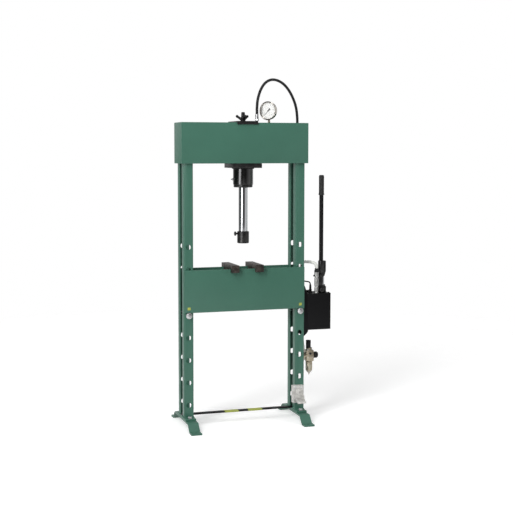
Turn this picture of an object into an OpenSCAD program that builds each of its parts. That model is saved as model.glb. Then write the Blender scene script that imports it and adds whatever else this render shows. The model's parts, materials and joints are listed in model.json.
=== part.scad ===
// Hydraulic shop press: two columns of paired channel bars, a fixed head
// beam, a bed on two pins, a sliding ram carriage and a side-mounted pump.
// Frame: X to the right, Y to the back, Z up, origin on the floor midway
// between the four toes of the feet.

/* [Frame] */
// Width over the outer faces of the two columns
frame_w = 702; // [640:1:860]
// Height from the floor to the top of the head beam
frame_h = 1682; // [1500:1:2020]
// Width of one column bar, seen from the front
bar_w = 55; // [50:1:66]
// Depth of one column bar, front to back
bar_d = 38; // [32:1:46]
// Wall thickness of the column bars
bar_t = 6; // [4:0.5:8]
// Clear gap between the front and the rear bar of a column
bar_gap = 50; // [44:1:60]
// Height of the lowest pin hole above the floor
first_hole_z = 127; // [110:1:150]
// Distance from one pin hole to the next
hole_pitch = 125; // [104:1:150]
// Number of pin holes in each column bar
hole_count = 8; // [6:1:9]

/* [Head beam] */
// How far the head beam stands out past each column
head_over = 14; // [10:1:24]
// Height of the head beam
head_h = 224; // [188:1:270]
// Thickness of the front and rear head plates
head_t = 12; // [8:1:16]
// Thickness of the packers between the head plates and the columns
packer_t = 7; // [5:1:10]
// Thickness of the plates that close the ends of the head
head_end_t = 6; // [4:1:6]

/* [Feet] */
// Length of each foot, front to back
foot_len = 464; // [420:1:560]
// Width of the bent flat bar of a foot
foot_w = 60; // [56:1:72]
// Thickness of the bent flat bar
foot_t = 10; // [8:1:12]
// Height of the raised flat of a foot above the floor
foot_rise = 50; // [42:1:60]
// Length of each toe that lies on the floor
toe_len = 42; // [35:1:50]
// Length of the sloped part, seen from the side
slope_run = 40; // [33:1:48]
// Diameter of the floor anchor hole in each toe
anchor_hole_d = 13; // [10:0.5:15]
// Thickness of the base plate welded under each column
base_t = 10; // [8:1:12]
// Diameter of the bolts that hold the columns to the feet
foot_bolt_d = 12; // [10:1:14]

/* [Bed] */
// How far the bed plates end short of each column's outer face
bed_inset = 3; // [1:1:8]
// Height of the bed plates
bed_h = 234; // [195:1:280]
// Thickness of the bed plates
bed_t = 10; // [8:1:14]
// Which pin hole carries the bed, counted up from the lowest
bed_hole = 4; // [2:1:5]
// Diameter of the bed pins
pin_d = 28; // [23:1:34]
// Length of pin that stands out in front of the column
pin_out = 22; // [20:1:27]

/* [Press blocks] */
// Width of a press block
block_w = 44; // [37:1:52]
// Height of a press block
block_h = 40; // [34:1:48]
// Length of a press block, front to back
block_len = 206; // [190:1:247]
// How far a block hooks down over the bed plates
block_hook = 18; // [15:1:21]
// Place of the left block, from the middle
left_block_x = -66; // [-150:1:-50]
// Place of the right block, from the middle
right_block_x = 75; // [60:1:150]

/* [Ram] */
// Place of the ram carriage along the head, from the middle
carriage_x = 8; // [-60:1:40]
// Side of the square flange under the head
flange_w = 168; // [140:1:190]
// Thickness of the flange
flange_t = 25; // [20:1:30]
// Outer diameter of the cylinder barrel
barrel_d = 112; // [94:1:135]
// Bore of the cylinder
bore_d = 76; // [64:1:84]
// Length of barrel below the flange
barrel_below = 108; // [80:1:130]
// Diameter of the ram rod
rod_d = 50; // [42:1:56]
// Bare length of rod below the gland when the ram is out
rod_out = 245; // [205:1:245]
// Diameter of the ram nose
nose_d = 66; // [60:1:80]
// Height of the ram nose
nose_h = 67; // [56:1:80]

/* [Gauge] */
// Diameter of the pressure gauge over its bezel
gauge_d = 105; // [88:1:116]
// Depth of the gauge case
gauge_depth = 32; // [27:1:38]
// Turn of the gauge to the left, in degrees
gauge_turn = 50; // [0:1:60]

/* [Pump] */
// Width of the oil reservoir
tank_w = 136; // [120:1:164]
// Depth of the oil reservoir, front to back
tank_d = 110; // [100:1:132]
// Height of the oil reservoir
tank_h = 201; // [170:1:241]
// Height of the reservoir's underside above the floor
tank_z = 512; // [480:1:540]
// Diameter of the pump lever's tube
lever_d = 24; // [20:1:28]
// Height of the lever's top above the floor
lever_top_z = 1390; // [1300:1:1500]
// Diameter of the pump plunger
plunger_d = 16; // [14:1:18]

/* [Hidden] */
$fn = 48;
EPS = 0.5;
// gap between pieces that move past each other
RUN_GAP = 0.3;
// radial gap of a shaft that turns or slides in its bore
FIT_GAP = 0.05;
// radial gap of a bolt or spigot in its hole
BOLT_GAP = 0.25;

FRAME_GREEN = [0.27, 0.44, 0.37];
TOOL_BLACK = [0.09, 0.09, 0.10];
STEEL = [0.72, 0.73, 0.75];
CHROME = [0.85, 0.86, 0.88];
BRASS = [0.70, 0.58, 0.36];
ALLOY = [0.70, 0.69, 0.68];

// frame
col_x = frame_w / 2 - bar_w / 2;
col_y = bar_gap / 2 + bar_d;
base_z = foot_rise + base_t;
hole_d = pin_d + 2 * RUN_GAP;
col_inner_x = frame_w / 2 - bar_w;
bar_top_z = frame_h - 12;
knee_y = foot_len / 2 - toe_len - slope_run;
anchor_y = foot_len / 2 - 20;
base_len = 2 * (knee_y - 45);
foot_bolt_y = base_len / 2 - 20;
bolt_head_h = 8;
tie_w = 30;
tie_t = 8;

// head
head_w = frame_w + 2 * head_over;
head_z = frame_h - head_h;
head_in_y = col_y + packer_t;
head_out_y = head_in_y + head_t;

// bed
bed_w = frame_w - 2 * bed_inset;
bed_pin_z = first_hole_z + hole_pitch * bed_hole;
bed_z = bed_pin_z + pin_d / 2 + RUN_GAP;
bed_top = bed_z + bed_h;
bed_in_y = col_y + 1;
bed_out_y = bed_in_y + bed_t;
bed_spacer_t = 10;
bed_tube_d = 40;
bed_tube_x = 150;
collar_d = pin_d + 6;
collar_t = 3;
block_z = bed_top + RUN_GAP - block_hook;
slot_gap = 2;

// ram
flange_z = head_z - RUN_GAP - flange_t;
barrel_bottom_z = flange_z - barrel_below;
barrel_top = frame_h - 7;
cap_t = 20;
gland_h = 16;
gland_d = barrel_d - 6;
spigot_h = 15;
piston_h = 22;
spring_h = 34;
spring_wire = 5.6;
piston_z = barrel_bottom_z + gland_h + spigot_h + spring_h;
nose_z = barrel_bottom_z - rod_out - nose_h;
nose_socket = 50;
screw_z = nose_z + nose_h - 13;
screw_d = 10;
screw_head_d = 24;
screw_head_w = 10;
screw_out = 8;
bleed_z = barrel_bottom_z + 44;
plate_w = 120;
plate_t = 8;
plate_z = frame_h + RUN_GAP;
lip_drop = 10;
lip_t = 8;
plate_len = 2 * (head_out_y + RUN_GAP + lip_t);
stud_d = 18;
stud_top = frame_h + 58;
knob_hub_d = 28;
knob_z = plate_z + plate_t + RUN_GAP;
knob_h = 22;

// oil line on the carriage
manifold_z = frame_h - 46;
manifold_s = 30;
manifold_x0 = carriage_x + barrel_d / 2;
manifold_len = 116;
port_x = carriage_x + 81;
gauge_x = carriage_x + 152;
gauge_z = frame_h + 68;
gauge_stem_d = 14;
ferrule_d = 19;
ferrule_top = frame_h + 50;
bezel_h = 10;
dial_y = -gauge_depth / 2 + 6;

// pump
tank_x = frame_w / 2 + 28;
pump_y = 0;
tank_wall = 3;
cover_t = 6;
tank_top = tank_z + tank_h;
cover_top = tank_top + cover_t;
pump_block_x = tank_x + 94;
pump_block_w = 50;
pump_block_h = 36;
block_top = cover_top + pump_block_h;
pivot_x = pump_block_x - 5;
pivot_z = block_top + 63;
plunger_x = pivot_x + 18;
roller_d = 16;
plunger_top = pivot_z - roller_d / 2 - 0.7;
ear_gap = 28;
ear_t = 6;
ear_w = 22;
pivot_d = 12;
socket_d = 34;
socket_top = pivot_z + 82;
lever_x = pivot_x + 8;
lever_seat = pivot_z + 26;
grip_len = 113;
grip_d = 30;
bracket_t = 6;
bracket_z = tank_z - 32;
bracket_top = cover_top + 46;
bracket_bolt_d = 10;
bracket_bolt_y = bar_gap / 2 + 13;
BRACKET_BOLT_Z = [bracket_z + 80, bracket_top - 75];
motor_x = tank_x + 55;
motor_y = pump_y - 37;
motor_d = 19;
motor_top = cover_top + 130;
oil_port_x = tank_x + 32;
valve_x = pump_block_x - 8;
valve_z = cover_top + 18;
valve_d = 10;
valve_depth = 13;

// air service unit and pedal valve on the right column
unit_x = frame_w / 2 + 44;
unit_y = -25;
unit_z = 330;
unit_w = 52;
unit_h = 63;
pedal_x = col_x - 17;
pedal_z = 106;
pedal_w = 64;
pedal_h = 98;
pedal_d = 28;
treadle_len = 62;
inlet_d = 11.4;
inlet_depth = 14;
inlet_z = pedal_z + 70;
treadle_z = pedal_z + 30;

// route of the oil hose, from the carriage to the pump
hose_d = 13;
clip_x = frame_w / 2 + 1;
clip_y = col_y + 32;
CLIP_Z = [head_z - 168, head_z - 58];
OIL_ROUTE = [
    [89, 0, 1732], [89, 0, 1748], [89, 0, 1764], [94, 1, 1812], [112, 5, 1865],
    [142, 14, 1905], [182, 26, 1926], [226, 42, 1924], [268, 58, 1898],
    [304, 74, 1850], [332, 86, 1785], [346, 93, 1710], [350, 95, 1620],
    [351, 95, 1490], [352, 95, 1350], [353, 95, 1200], [354, 95, 1050],
    [356, 95, 920], [360, 87, 850], [367, 64, 806], [380, 35, 790],
    [397, 11, 785], [409, 1, 771], [411, 0, 757], [411, 0, 748], [411, 0, 739]
];

// route of the air hose, from the air motor to the service unit
air_d = 18;
AIR_ROUTE = [
    [434, -37, 855], [434, -37, 863], [434, -37, 871], [427, -32, 888],
    [411, -14, 894], [398, 20, 894], [389, 58, 887], [386, 83, 861],
    [386, 92, 820], [386, 93, 740], [386, 91, 640], [387, 88, 540],
    [390, 80, 450], [394, 66, 394], [395, 48, 366], [395, 32, 362],
    [395, 24, 362], [395, 16, 362]
];

// ---------- helpers ----------

// box between two opposite corners
module slab(low, high) {
    translate(low) cube(high - low);
}

// round bars along each axis, between two stations
module bar_x(d, x0, x1, y, z) {
    translate([x0, y, z]) rotate([0, 90, 0]) cylinder(d = d, h = x1 - x0);
}

module bar_y(d, y0, y1, x, z) {
    translate([x, y0, z]) rotate([-90, 0, 0]) cylinder(d = d, h = y1 - y0);
}

module bar_z(d, z0, z1, x, y) {
    translate([x, y, z0]) cylinder(d = d, h = z1 - z0);
}

// upright hexagon, measured across its flats
module hex_z(flats, z0, z1, x, y) {
    translate([x, y, z0]) cylinder(d = flats / cos(30), h = z1 - z0, $fn = 6);
}

// outline in the Y-Z plane, extruded along X
module side_profile(points, x0, x1) {
    translate([x0, 0, 0]) rotate([90, 0, 90]) linear_extrude(x1 - x0) polygon(points);
}

// outline in the X-Z plane, extruded along Y
module front_profile(points, y0, y1) {
    translate([0, y1, 0]) rotate([90, 0, 0]) linear_extrude(y1 - y0) polygon(points);
}

// smooth curve through hand-chosen points
function curve_at(p, i, t) =
    let (n = len(p) - 1,
         a = p[max(i - 1, 0)], b = p[i], c = p[i + 1], d = p[min(i + 2, n)])
    0.5 * (2 * b + (c - a) * t + (2 * a - 5 * b + 4 * c - d) * t * t
        + (3 * b - a - 3 * c + d) * t * t * t);
function curve(p, steps) = concat(
    [for (i = [0 : len(p) - 2], s = [0 : steps - 1]) curve_at(p, i, s / steps)],
    [p[len(p) - 1]]);
function unit(v) = v / norm(v);
function heading(p, i) = unit(p[min(i + 1, len(p) - 1)] - p[max(i - 1, 0)]);
// a frame that is carried along the path without twisting
function carried(p, side, i) =
    let (t = heading(p, i), s = unit(side - t * (side * t)))
    i == len(p) - 1 ? [s] : concat([s], carried(p, s, i + 1));

// tube of diameter d swept along the path p
module swept(p, d, side, sides = 10) {
    across = carried(p, side, 0);
    rings = [for (i = [0 : len(p) - 1], k = [0 : sides - 1])
        let (u = across[i], v = cross(heading(p, i), u), a = 360 * k / sides)
        p[i] + (u * cos(a) + v * sin(a)) * d / 2];
    last = (len(p) - 1) * sides;
    polyhedron(rings, concat(
        [[for (k = [0 : sides - 1]) k]],
        [for (i = [0 : len(p) - 2], k = [0 : sides - 1])
            let (a = i * sides + k, b = i * sides + (k + 1) % sides)
            [a, a + sides, b + sides, b]],
        [[for (k = [sides - 1 : -1 : 0]) last + k]]));
}

// ---------- frame ----------

function hole_z(k) = first_hole_z + hole_pitch * k;

// channel bar with its web outwards; face is -1 in front and 1 behind
module column_bar(x, face) {
    y_web = face * col_y;
    y_open = face * bar_gap / 2;
    difference() {
        slab([x - bar_w / 2, min(y_web, y_open), base_z],
             [x + bar_w / 2, max(y_web, y_open), bar_top_z]);
        slab([x - bar_w / 2 + bar_t, min(y_web - face * bar_t, y_open - face), base_z - 1],
             [x + bar_w / 2 - bar_t, max(y_web - face * bar_t, y_open - face), bar_top_z + 1]);
        for (k = [0 : hole_count - 1])
            bar_y(hole_d, y_web - 10, y_web + 10, x, hole_z(k));
    }
}

module column(x) {
    color(FRAME_GREEN) {
        column_bar(x, -1);
        column_bar(x, 1);
    }
}

module left_column() column(-col_x);

// the right column is also drilled in its side for the pump bracket
module right_column() {
    difference() {
        column(col_x);
        bracket_bolt_holes(frame_w / 2 - bar_t, frame_w / 2);
    }
}

module base_plates() {
    color(FRAME_GREEN) for (x = [-col_x, col_x]) difference() {
        slab([x - foot_w / 2, -base_len / 2, foot_rise], [x + foot_w / 2, base_len / 2, base_z]);
        for (y = [-foot_bolt_y, foot_bolt_y])
            bar_z(foot_bolt_d + 2 * BOLT_GAP, foot_rise - 1, base_z + 1, x, y);
    }
}

// half outline of the bent bar, from the toe's tip to the middle
slope_angle = atan2(foot_rise - foot_t, slope_run);
bend_shift = foot_t * tan(slope_angle / 2);
toe_y = foot_len / 2;
FOOT_TOP = [[toe_y, foot_t], [knee_y + slope_run, foot_t], [knee_y, foot_rise]];
FOOT_UNDER = [[knee_y - bend_shift, foot_rise - foot_t], [knee_y + slope_run - bend_shift, 0],
              [toe_y, 0]];

module foot(x) {
    half = concat(FOOT_UNDER, FOOT_TOP);
    other = [for (i = [len(half) - 1 : -1 : 0]) [-half[i][0], half[i][1]]];
    color(FRAME_GREEN) difference() {
        side_profile(concat(half, other), x - foot_w / 2, x + foot_w / 2);
        for (y = [-anchor_y, anchor_y]) bar_z(anchor_hole_d, -1, foot_t + 1, x, y);
        for (y = [-foot_bolt_y, foot_bolt_y])
            bar_z(foot_bolt_d + 2 * BOLT_GAP, foot_rise - foot_t - 1, foot_rise + 1, x, y);
    }
}

module left_foot() foot(-col_x);
module right_foot() foot(col_x);

module foot_bolts() {
    color(STEEL) for (x = [-col_x, col_x], y = [-foot_bolt_y, foot_bolt_y]) {
        bar_z(foot_bolt_d * 2, base_z, base_z + 2.5, x, y);
        hex_z(foot_bolt_d * 1.5, base_z + 2.5, base_z + 2.5 + bolt_head_h, x, y);
        bar_z(foot_bolt_d, foot_rise - foot_t - 14, base_z + 1, x, y);
    }
}

module foot_nuts() {
    under = foot_rise - foot_t;
    color(STEEL) for (x = [-col_x, col_x], y = [-foot_bolt_y, foot_bolt_y]) difference() {
        hex_z(foot_bolt_d * 1.5, under - 10, under, x, y);
        bar_z(foot_bolt_d + 2 * BOLT_GAP, under - 11, under + 1, x, y);
    }
}

module tie_bar() {
    color(TOOL_BLACK)
        slab([-frame_w / 2, -tie_w / 2, base_z], [frame_w / 2, tie_w / 2, base_z + tie_t]);
}

// ---------- head beam ----------

module head_plate(y0) {
    color(FRAME_GREEN)
        slab([-head_w / 2, y0, head_z], [head_w / 2, y0 + head_t, frame_h]);
}

module head_front_plate() head_plate(-head_out_y);
module head_rear_plate() head_plate(head_in_y);

module head_end_plates() {
    color(FRAME_GREEN) for (x = [-head_w / 2, head_w / 2 - head_end_t])
        slab([x, -head_in_y, head_z], [x + head_end_t, head_in_y, frame_h]);
}

module head_packers() {
    margin = 12;
    color(FRAME_GREEN) for (x = [-col_x, col_x], y = [-head_in_y, col_y])
        slab([x - bar_w / 2, y, head_z + margin], [x + bar_w / 2, y + packer_t, frame_h - margin]);
}

// ---------- bed ----------

module bed_plate(y0) {
    color(FRAME_GREEN) slab([-bed_w / 2, y0, bed_z], [bed_w / 2, y0 + bed_t, bed_top]);
}

module bed_front_plate() bed_plate(-bed_out_y);
module bed_rear_plate() bed_plate(bed_in_y);

module bed_spacers() {
    outer_x = col_inner_x - 3;
    color(FRAME_GREEN) {
        for (x = [-outer_x, outer_x - bed_spacer_t])
            slab([x, -bed_in_y, bed_z + 20], [x + bed_spacer_t, bed_in_y, bed_top - 60]);
        for (x = [-bed_tube_x, bed_tube_x]) difference() {
            bar_y(bed_tube_d, -bed_in_y, bed_in_y, x, bed_z + 45);
            bar_y(bed_tube_d - 12, -bed_in_y - 1, bed_in_y + 1, x, bed_z + 45);
        }
    }
}

// turned pin with a chamfered nose and a collar in front of the bed plate
module bed_pin(x) {
    r = pin_d / 2;
    end = col_y + pin_out;
    collar = bed_out_y + 1;
    color(CHROME) translate([x, 0, bed_pin_z]) rotate([-90, 0, 0]) rotate_extrude() polygon([
        [0, -end], [r - 2, -end], [r, -end + 2], [r, -collar - collar_t],
        [collar_d / 2, -collar - collar_t], [collar_d / 2, -collar], [r, -collar],
        [r, end - 4], [r - 4, end], [0, end]
    ]);
}

module left_bed_pin() bed_pin(-col_x);
module right_bed_pin() bed_pin(col_x);

// steel bar with two cross slots that sit over the bed plates
module press_block(x) {
    half = block_len / 2;
    color(TOOL_BLACK) difference() {
        slab([x - block_w / 2, -half, block_z], [x + block_w / 2, half, block_z + block_h]);
        for (y = [-bed_out_y - slot_gap, bed_in_y - slot_gap])
            slab([x - block_w, y, block_z - 1],
                 [x + block_w, y + bed_t + 2 * slot_gap, bed_top + RUN_GAP]);
    }
}

module left_press_block() press_block(left_block_x);
module right_press_block() press_block(right_block_x);

// ---------- ram carriage ----------

// plate across the top of the head, hooked over both plates
module carriage_plate() {
    x0 = carriage_x - plate_w / 2;
    inner_y = plate_len / 2 - lip_t;
    color(TOOL_BLACK) difference() {
        slab([x0, -plate_len / 2, frame_h - lip_drop], [x0 + plate_w, plate_len / 2, plate_z + plate_t]);
        slab([x0 - 1, -inner_y, frame_h - lip_drop - 1], [x0 + plate_w + 1, inner_y, plate_z]);
        bar_z(stud_d + 2 * BOLT_GAP, plate_z - 1, plate_z + plate_t + 1, carriage_x, 0);
    }
}

module carriage_flange() {
    half = flange_w / 2;
    color(TOOL_BLACK) difference() {
        slab([carriage_x - half, -half, flange_z], [carriage_x + half, half, flange_z + flange_t]);
        bar_z(barrel_d + 2 * BOLT_GAP, flange_z - 1, flange_z + flange_t + 1, carriage_x, 0);
    }
}

module clamp_stud() {
    color(STEEL) {
        bar_z(stud_d, barrel_top - 12, stud_top - 2, carriage_x, 0);
        translate([carriage_x, 0, stud_top - 2]) cylinder(d1 = stud_d, d2 = stud_d - 4, h = 2);
    }
}

// three-armed knob on the stud, its arms rising outwards
module star_knob() {
    color(TOOL_BLACK) translate([carriage_x, 0, knob_z]) difference() {
        union() {
            cylinder(d = knob_hub_d, h = knob_h);
            for (a = [30, 150, 270]) rotate([0, 0, a]) {
                translate([6, 0, 12]) rotate([0, 66, 0]) cylinder(d1 = 15, d2 = 11, h = 26);
                translate([30, 0, 23]) sphere(d = 14, $fn = 32);
            }
        }
        translate([0, 0, -1]) cylinder(d = stud_d + 2 * RUN_GAP, h = knob_h + 20);
    }
}

module cylinder_barrel() {
    z0 = barrel_bottom_z + gland_h;
    color(TOOL_BLACK) difference() {
        bar_z(barrel_d, z0, barrel_top, carriage_x, 0);
        bar_z(bore_d, z0 - 1, barrel_top - cap_t, carriage_x, 0);
        bar_z(stud_d + 2 * BOLT_GAP, barrel_top - 12 - EPS, barrel_top + 1, carriage_x, 0);
        bar_x(8, carriage_x, carriage_x + barrel_d, 0, manifold_z);
        bar_x(8.5, carriage_x - barrel_d, carriage_x, 0, bleed_z);
    }
}

module gland_nut() {
    z0 = barrel_bottom_z;
    color(TOOL_BLACK) difference() {
        union() {
            translate([carriage_x, 0, z0]) cylinder(d1 = gland_d - 6, d2 = gland_d, h = 3);
            bar_z(gland_d, z0 + 3, z0 + gland_h, carriage_x, 0);
            bar_z(bore_d - 2 * BOLT_GAP, z0 + gland_h - 1, z0 + gland_h + spigot_h, carriage_x, 0);
        }
        bar_z(rod_d + 2 * FIT_GAP, z0 - 1, z0 + gland_h + spigot_h + 1, carriage_x, 0);
        for (a = [45 : 90 : 315]) rotate_about_ram(a)
            translate([gland_d / 2 - 11, 0, z0 - 1]) cylinder(d = 7, h = 9);
    }
}

module rotate_about_ram(a) {
    translate([carriage_x, 0, 0]) rotate([0, 0, a]) children();
}

module bleed_screw() {
    x1 = carriage_x - barrel_d / 2;
    color(STEEL) {
        bar_x(8, x1 - 2, x1 + 12, 0, bleed_z);
        translate([x1 - 8, 0, bleed_z]) rotate([0, 90, 0]) cylinder(d = 13, h = 8, $fn = 6);
        bar_x(7, x1 - 14, x1 - 8, 0, bleed_z);
    }
}

module piston() {
    body_d = bore_d - 2 * FIT_GAP;
    color(STEEL) difference() {
        bar_z(body_d, piston_z, piston_z + piston_h, carriage_x, 0);
        difference() {
            bar_z(body_d + 2, piston_z + 7, piston_z + 15, carriage_x, 0);
            bar_z(body_d - 10, piston_z + 6, piston_z + 16, carriage_x, 0);
        }
        bar_z(30 + 2 * BOLT_GAP, piston_z - 1, piston_z + 14, carriage_x, 0);
    }
}

module piston_seal() {
    body_d = bore_d - 2 * FIT_GAP;
    color([0.12, 0.12, 0.13]) difference() {
        bar_z(body_d, piston_z + 7.2, piston_z + 14.8, carriage_x, 0);
        bar_z(body_d - 10 + 2 * BOLT_GAP, piston_z + 6, piston_z + 16, carriage_x, 0);
    }
}

// spring that draws the ram back, wound round the rod
module return_spring() {
    turns = 5;
    radius = (bore_d + rod_d) / 4;
    low = barrel_bottom_z + gland_h + spigot_h + spring_wire / 2 + RUN_GAP;
    rise = spring_h - spring_wire - 2 * RUN_GAP;
    steps = turns * 12;
    path = [for (i = [0 : steps])
        [carriage_x + radius * cos(360 * turns * i / steps),
         radius * sin(360 * turns * i / steps), low + rise * i / steps]];
    color(STEEL) swept(path, spring_wire, [0, 0, 1], 8);
}

module ram_rod() {
    z0 = nose_z + nose_h - nose_socket;
    color(CHROME) {
        bar_z(rod_d, z0, piston_z, carriage_x, 0);
        bar_z(30, piston_z - 1, piston_z + 13, carriage_x, 0);
    }
}

// cap on the end of the rod, kept on by a thumb screw
module ram_nose() {
    r = nose_d / 2;
    color(TOOL_BLACK) difference() {
        translate([carriage_x, 0, nose_z]) rotate_extrude() polygon([
            [0, 0], [r - 3, 0], [r, 3], [r, nose_h - 3], [r - 3, nose_h], [0, nose_h]]);
        bar_z(rod_d + 2 * BOLT_GAP, nose_z + nose_h - nose_socket, nose_z + nose_h + 1, carriage_x, 0);
        bar_x(screw_d + 2 * RUN_GAP, carriage_x - nose_d, carriage_x - rod_d / 2 + 2, 0, screw_z);
    }
}

module nose_screw() {
    tip = carriage_x - rod_d / 2 - RUN_GAP;
    head = carriage_x - nose_d / 2 - screw_out;
    color(TOOL_BLACK) {
        bar_x(screw_d, head, tip, 0, screw_z);
        bar_x(screw_head_d, head - screw_head_w, head, 0, screw_z);
    }
}

// ---------- oil line and gauge ----------

module oil_manifold() {
    half = manifold_s / 2;
    x1 = manifold_x0 + manifold_len;
    color(TOOL_BLACK) difference() {
        slab([manifold_x0, -half, manifold_z - half], [x1, half, manifold_z + half]);
        bar_x(8, manifold_x0 - 1, gauge_x, 0, manifold_z);
        bar_z(12, manifold_z, manifold_z + half + 1, port_x, 0);
        bar_z(10, manifold_z, manifold_z + half + 1, gauge_x, 0);
    }
}

module hose_top_fitting() {
    z0 = manifold_z + manifold_s / 2;
    color(CHROME) difference() {
        union() {
            bar_z(11.5, z0 - 9, z0 + 1, port_x, 0);
            hex_z(22, z0, z0 + 14, port_x, 0);
            bar_z(15, z0 + 13, ferrule_top - 34, port_x, 0);
            hex_z(19, ferrule_top - 38, ferrule_top - 28, port_x, 0);
            bar_z(ferrule_d, ferrule_top - 28, ferrule_top, port_x, 0);
        }
        bar_z(5, z0 - 10, ferrule_top - 12, port_x, 0);
    }
}

module hose_pump_fitting() {
    top = OIL_ROUTE[len(OIL_ROUTE) - 1][2];
    color(CHROME) difference() {
        union() {
            bar_z(11.5, cover_top - 4, cover_top + 1, oil_port_x, pump_y);
            hex_z(20, cover_top, cover_top + 8, oil_port_x, pump_y);
            bar_z(ferrule_d - 2, cover_top + 7, top, oil_port_x, pump_y);
        }
        bar_z(5, cover_top - 5, top - 6, oil_port_x, pump_y);
    }
}

module hydraulic_hose() {
    color(TOOL_BLACK) swept(curve(OIL_ROUTE, 2), hose_d, [0, 1, 0]);
}

// clips that hold the oil hose behind the right column
module hose_clips() {
    x = clip_x;
    y = clip_y;
    color(STEEL) for (z = CLIP_Z) difference() {
        union() {
            bar_z(hose_d + 6, z - 8, z + 8, x, y);
            slab([x - 6, col_y, z - 8], [x - 2, y - hose_d / 2 - 1, z + 8]);
            slab([x - 34, col_y, z - 8], [x - 3, col_y + 3, z + 8]);
            bar_y(11, col_y + 2, col_y + 7, x - 22, z);
        }
        bar_z(hose_d + 4 * RUN_GAP, z - 9, z + 9, x, y);
    }
}

module at_gauge() {
    translate([gauge_x, 0, gauge_z]) rotate([0, 0, -gauge_turn]) children();
}

module gauge_stem() {
    z0 = manifold_z + manifold_s / 2;
    color(BRASS) {
        bar_z(9.6, z0 - 9, z0 + 1, gauge_x, 0);
        bar_z(gauge_stem_d, z0, gauge_z - gauge_d / 2 - RUN_GAP, gauge_x, 0);
        bar_z(9.6, z0, gauge_z - gauge_d / 2 + 16, gauge_x, 0);
        hex_z(19, z0 + 2, z0 + 14, gauge_x, 0);
    }
}

// hollow case with a rolled bezel; the dial faces -Y before it is turned
module gauge_case() {
    r = gauge_d / 2;
    front = -gauge_depth / 2;
    back = gauge_depth / 2;
    color(STEEL) at_gauge() difference() {
        rotate([-90, 0, 0]) rotate_extrude() polygon([
            [0, back], [r - 9, back], [r - 4, back - 5], [r - 4, front + bezel_h],
            [r, front + bezel_h], [r, front + 2], [r - 2, front], [r - 6, front],
            [r - 6, front + 5.5], [r - 7, front + 5.5], [r - 7, back - 4], [0, back - 4]
        ]);
        bar_z(9.6 + 2 * BOLT_GAP, -r, 0, 0, 0);
    }
}

module gauge_dial() {
    color([0.95, 0.95, 0.93]) at_gauge() difference() {
        bar_y(gauge_d - 14.4, dial_y, dial_y + 1.5, 0, 0);
        bar_y(3.4, dial_y - 1, dial_y + 3, 0, 0);
    }
}

// pointer at its zero, low on the left of the dial
module gauge_needle() {
    reach = gauge_d / 2 - 14;
    color(TOOL_BLACK) at_gauge() {
        bar_y(3, dial_y - 2.6, dial_y + 6, 0, 0);
        bar_y(9, dial_y - 2.8, dial_y - 1, 0, 0);
        rotate([0, -45, 0]) front_profile([[-reach, -0.6], [-4, -1.8], [9, -2.6], [19, -3.2], [19, 3.2],
            [9, 2.6], [-4, 1.8], [-reach, 0.6]], dial_y - 2.4, dial_y - 1.2);
    }
}

module gauge_glass() {
    front = -gauge_depth / 2;
    color([0.85, 0.90, 0.92, 0.35]) at_gauge() bar_y(gauge_d - 12.4, front + 0.5, front + 2.5, 0, 0);
}

// ---------- pump ----------

// channel between the column and the reservoir, its flanges to the right
module pump_bracket() {
    x0 = frame_w / 2;
    half = tank_d / 2;
    flange_out = [[x0 + bracket_t, bracket_z], [tank_x - 4, bracket_z + 18],
                  [tank_x, tank_z], [tank_x, tank_top - 6], [x0 + bracket_t, bracket_top]];
    color(TOOL_BLACK) difference() {
        union() {
            slab([x0, pump_y - half, bracket_z], [x0 + bracket_t, pump_y + half, bracket_top]);
            for (y = [pump_y - half, pump_y + half - bracket_t])
                front_profile(flange_out, y, y + bracket_t);
        }
        bracket_bolt_holes(x0, x0 + bracket_t);
    }
}

module bracket_bolt_holes(x0, x1) {
    for (y = [-bracket_bolt_y, bracket_bolt_y], z = BRACKET_BOLT_Z)
        bar_x(bracket_bolt_d + 2 * BOLT_GAP, x0 - 1, x1 + 1, y, z);
}

// bolts through the side of the column, with their nuts inside it
module bracket_bolts() {
    x_out = frame_w / 2 + bracket_t;
    x_in = frame_w / 2 - bar_t;
    hex_d = bracket_bolt_d * 1.6 / cos(30);
    color(STEEL) for (y = [-bracket_bolt_y, bracket_bolt_y], z = BRACKET_BOLT_Z) {
        bar_x(bracket_bolt_d, x_in - 7, x_out + 1, y, z);
        translate([x_out, y, z]) rotate([0, 90, 0]) cylinder(d = hex_d, h = 6.4, $fn = 6);
        translate([x_in - 6, y, z]) rotate([0, 90, 0]) cylinder(d = hex_d, h = 6, $fn = 6);
    }
}

// welded steel tank, open at the top
module reservoir() {
    y0 = pump_y - tank_d / 2;
    y1 = pump_y + tank_d / 2;
    w = tank_wall;
    color(TOOL_BLACK) difference() {
        slab([tank_x, y0, tank_z], [tank_x + tank_w, y1, tank_top]);
        slab([tank_x + w, y0 + w, tank_z + w], [tank_x + tank_w - w, y1 - w, tank_top + 1]);
    }
}

module reservoir_cover() {
    y0 = pump_y - tank_d / 2;
    y1 = pump_y + tank_d / 2;
    color(TOOL_BLACK) difference() {
        union() {
            slab([tank_x, y0, tank_top], [tank_x + tank_w, y1, cover_top]);
            bar_z(26, cover_top - 1, cover_top + 10, tank_x + 30, y1 - 24);
            for (x = [tank_x + 9, tank_x + tank_w - 9], y = [y0 + 9, y1 - 9])
                bar_z(9, cover_top - 1, cover_top + 5, x, y);
        }
        bar_z(12, tank_top - 1, cover_top + 1, oil_port_x, pump_y);
    }
}

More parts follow.
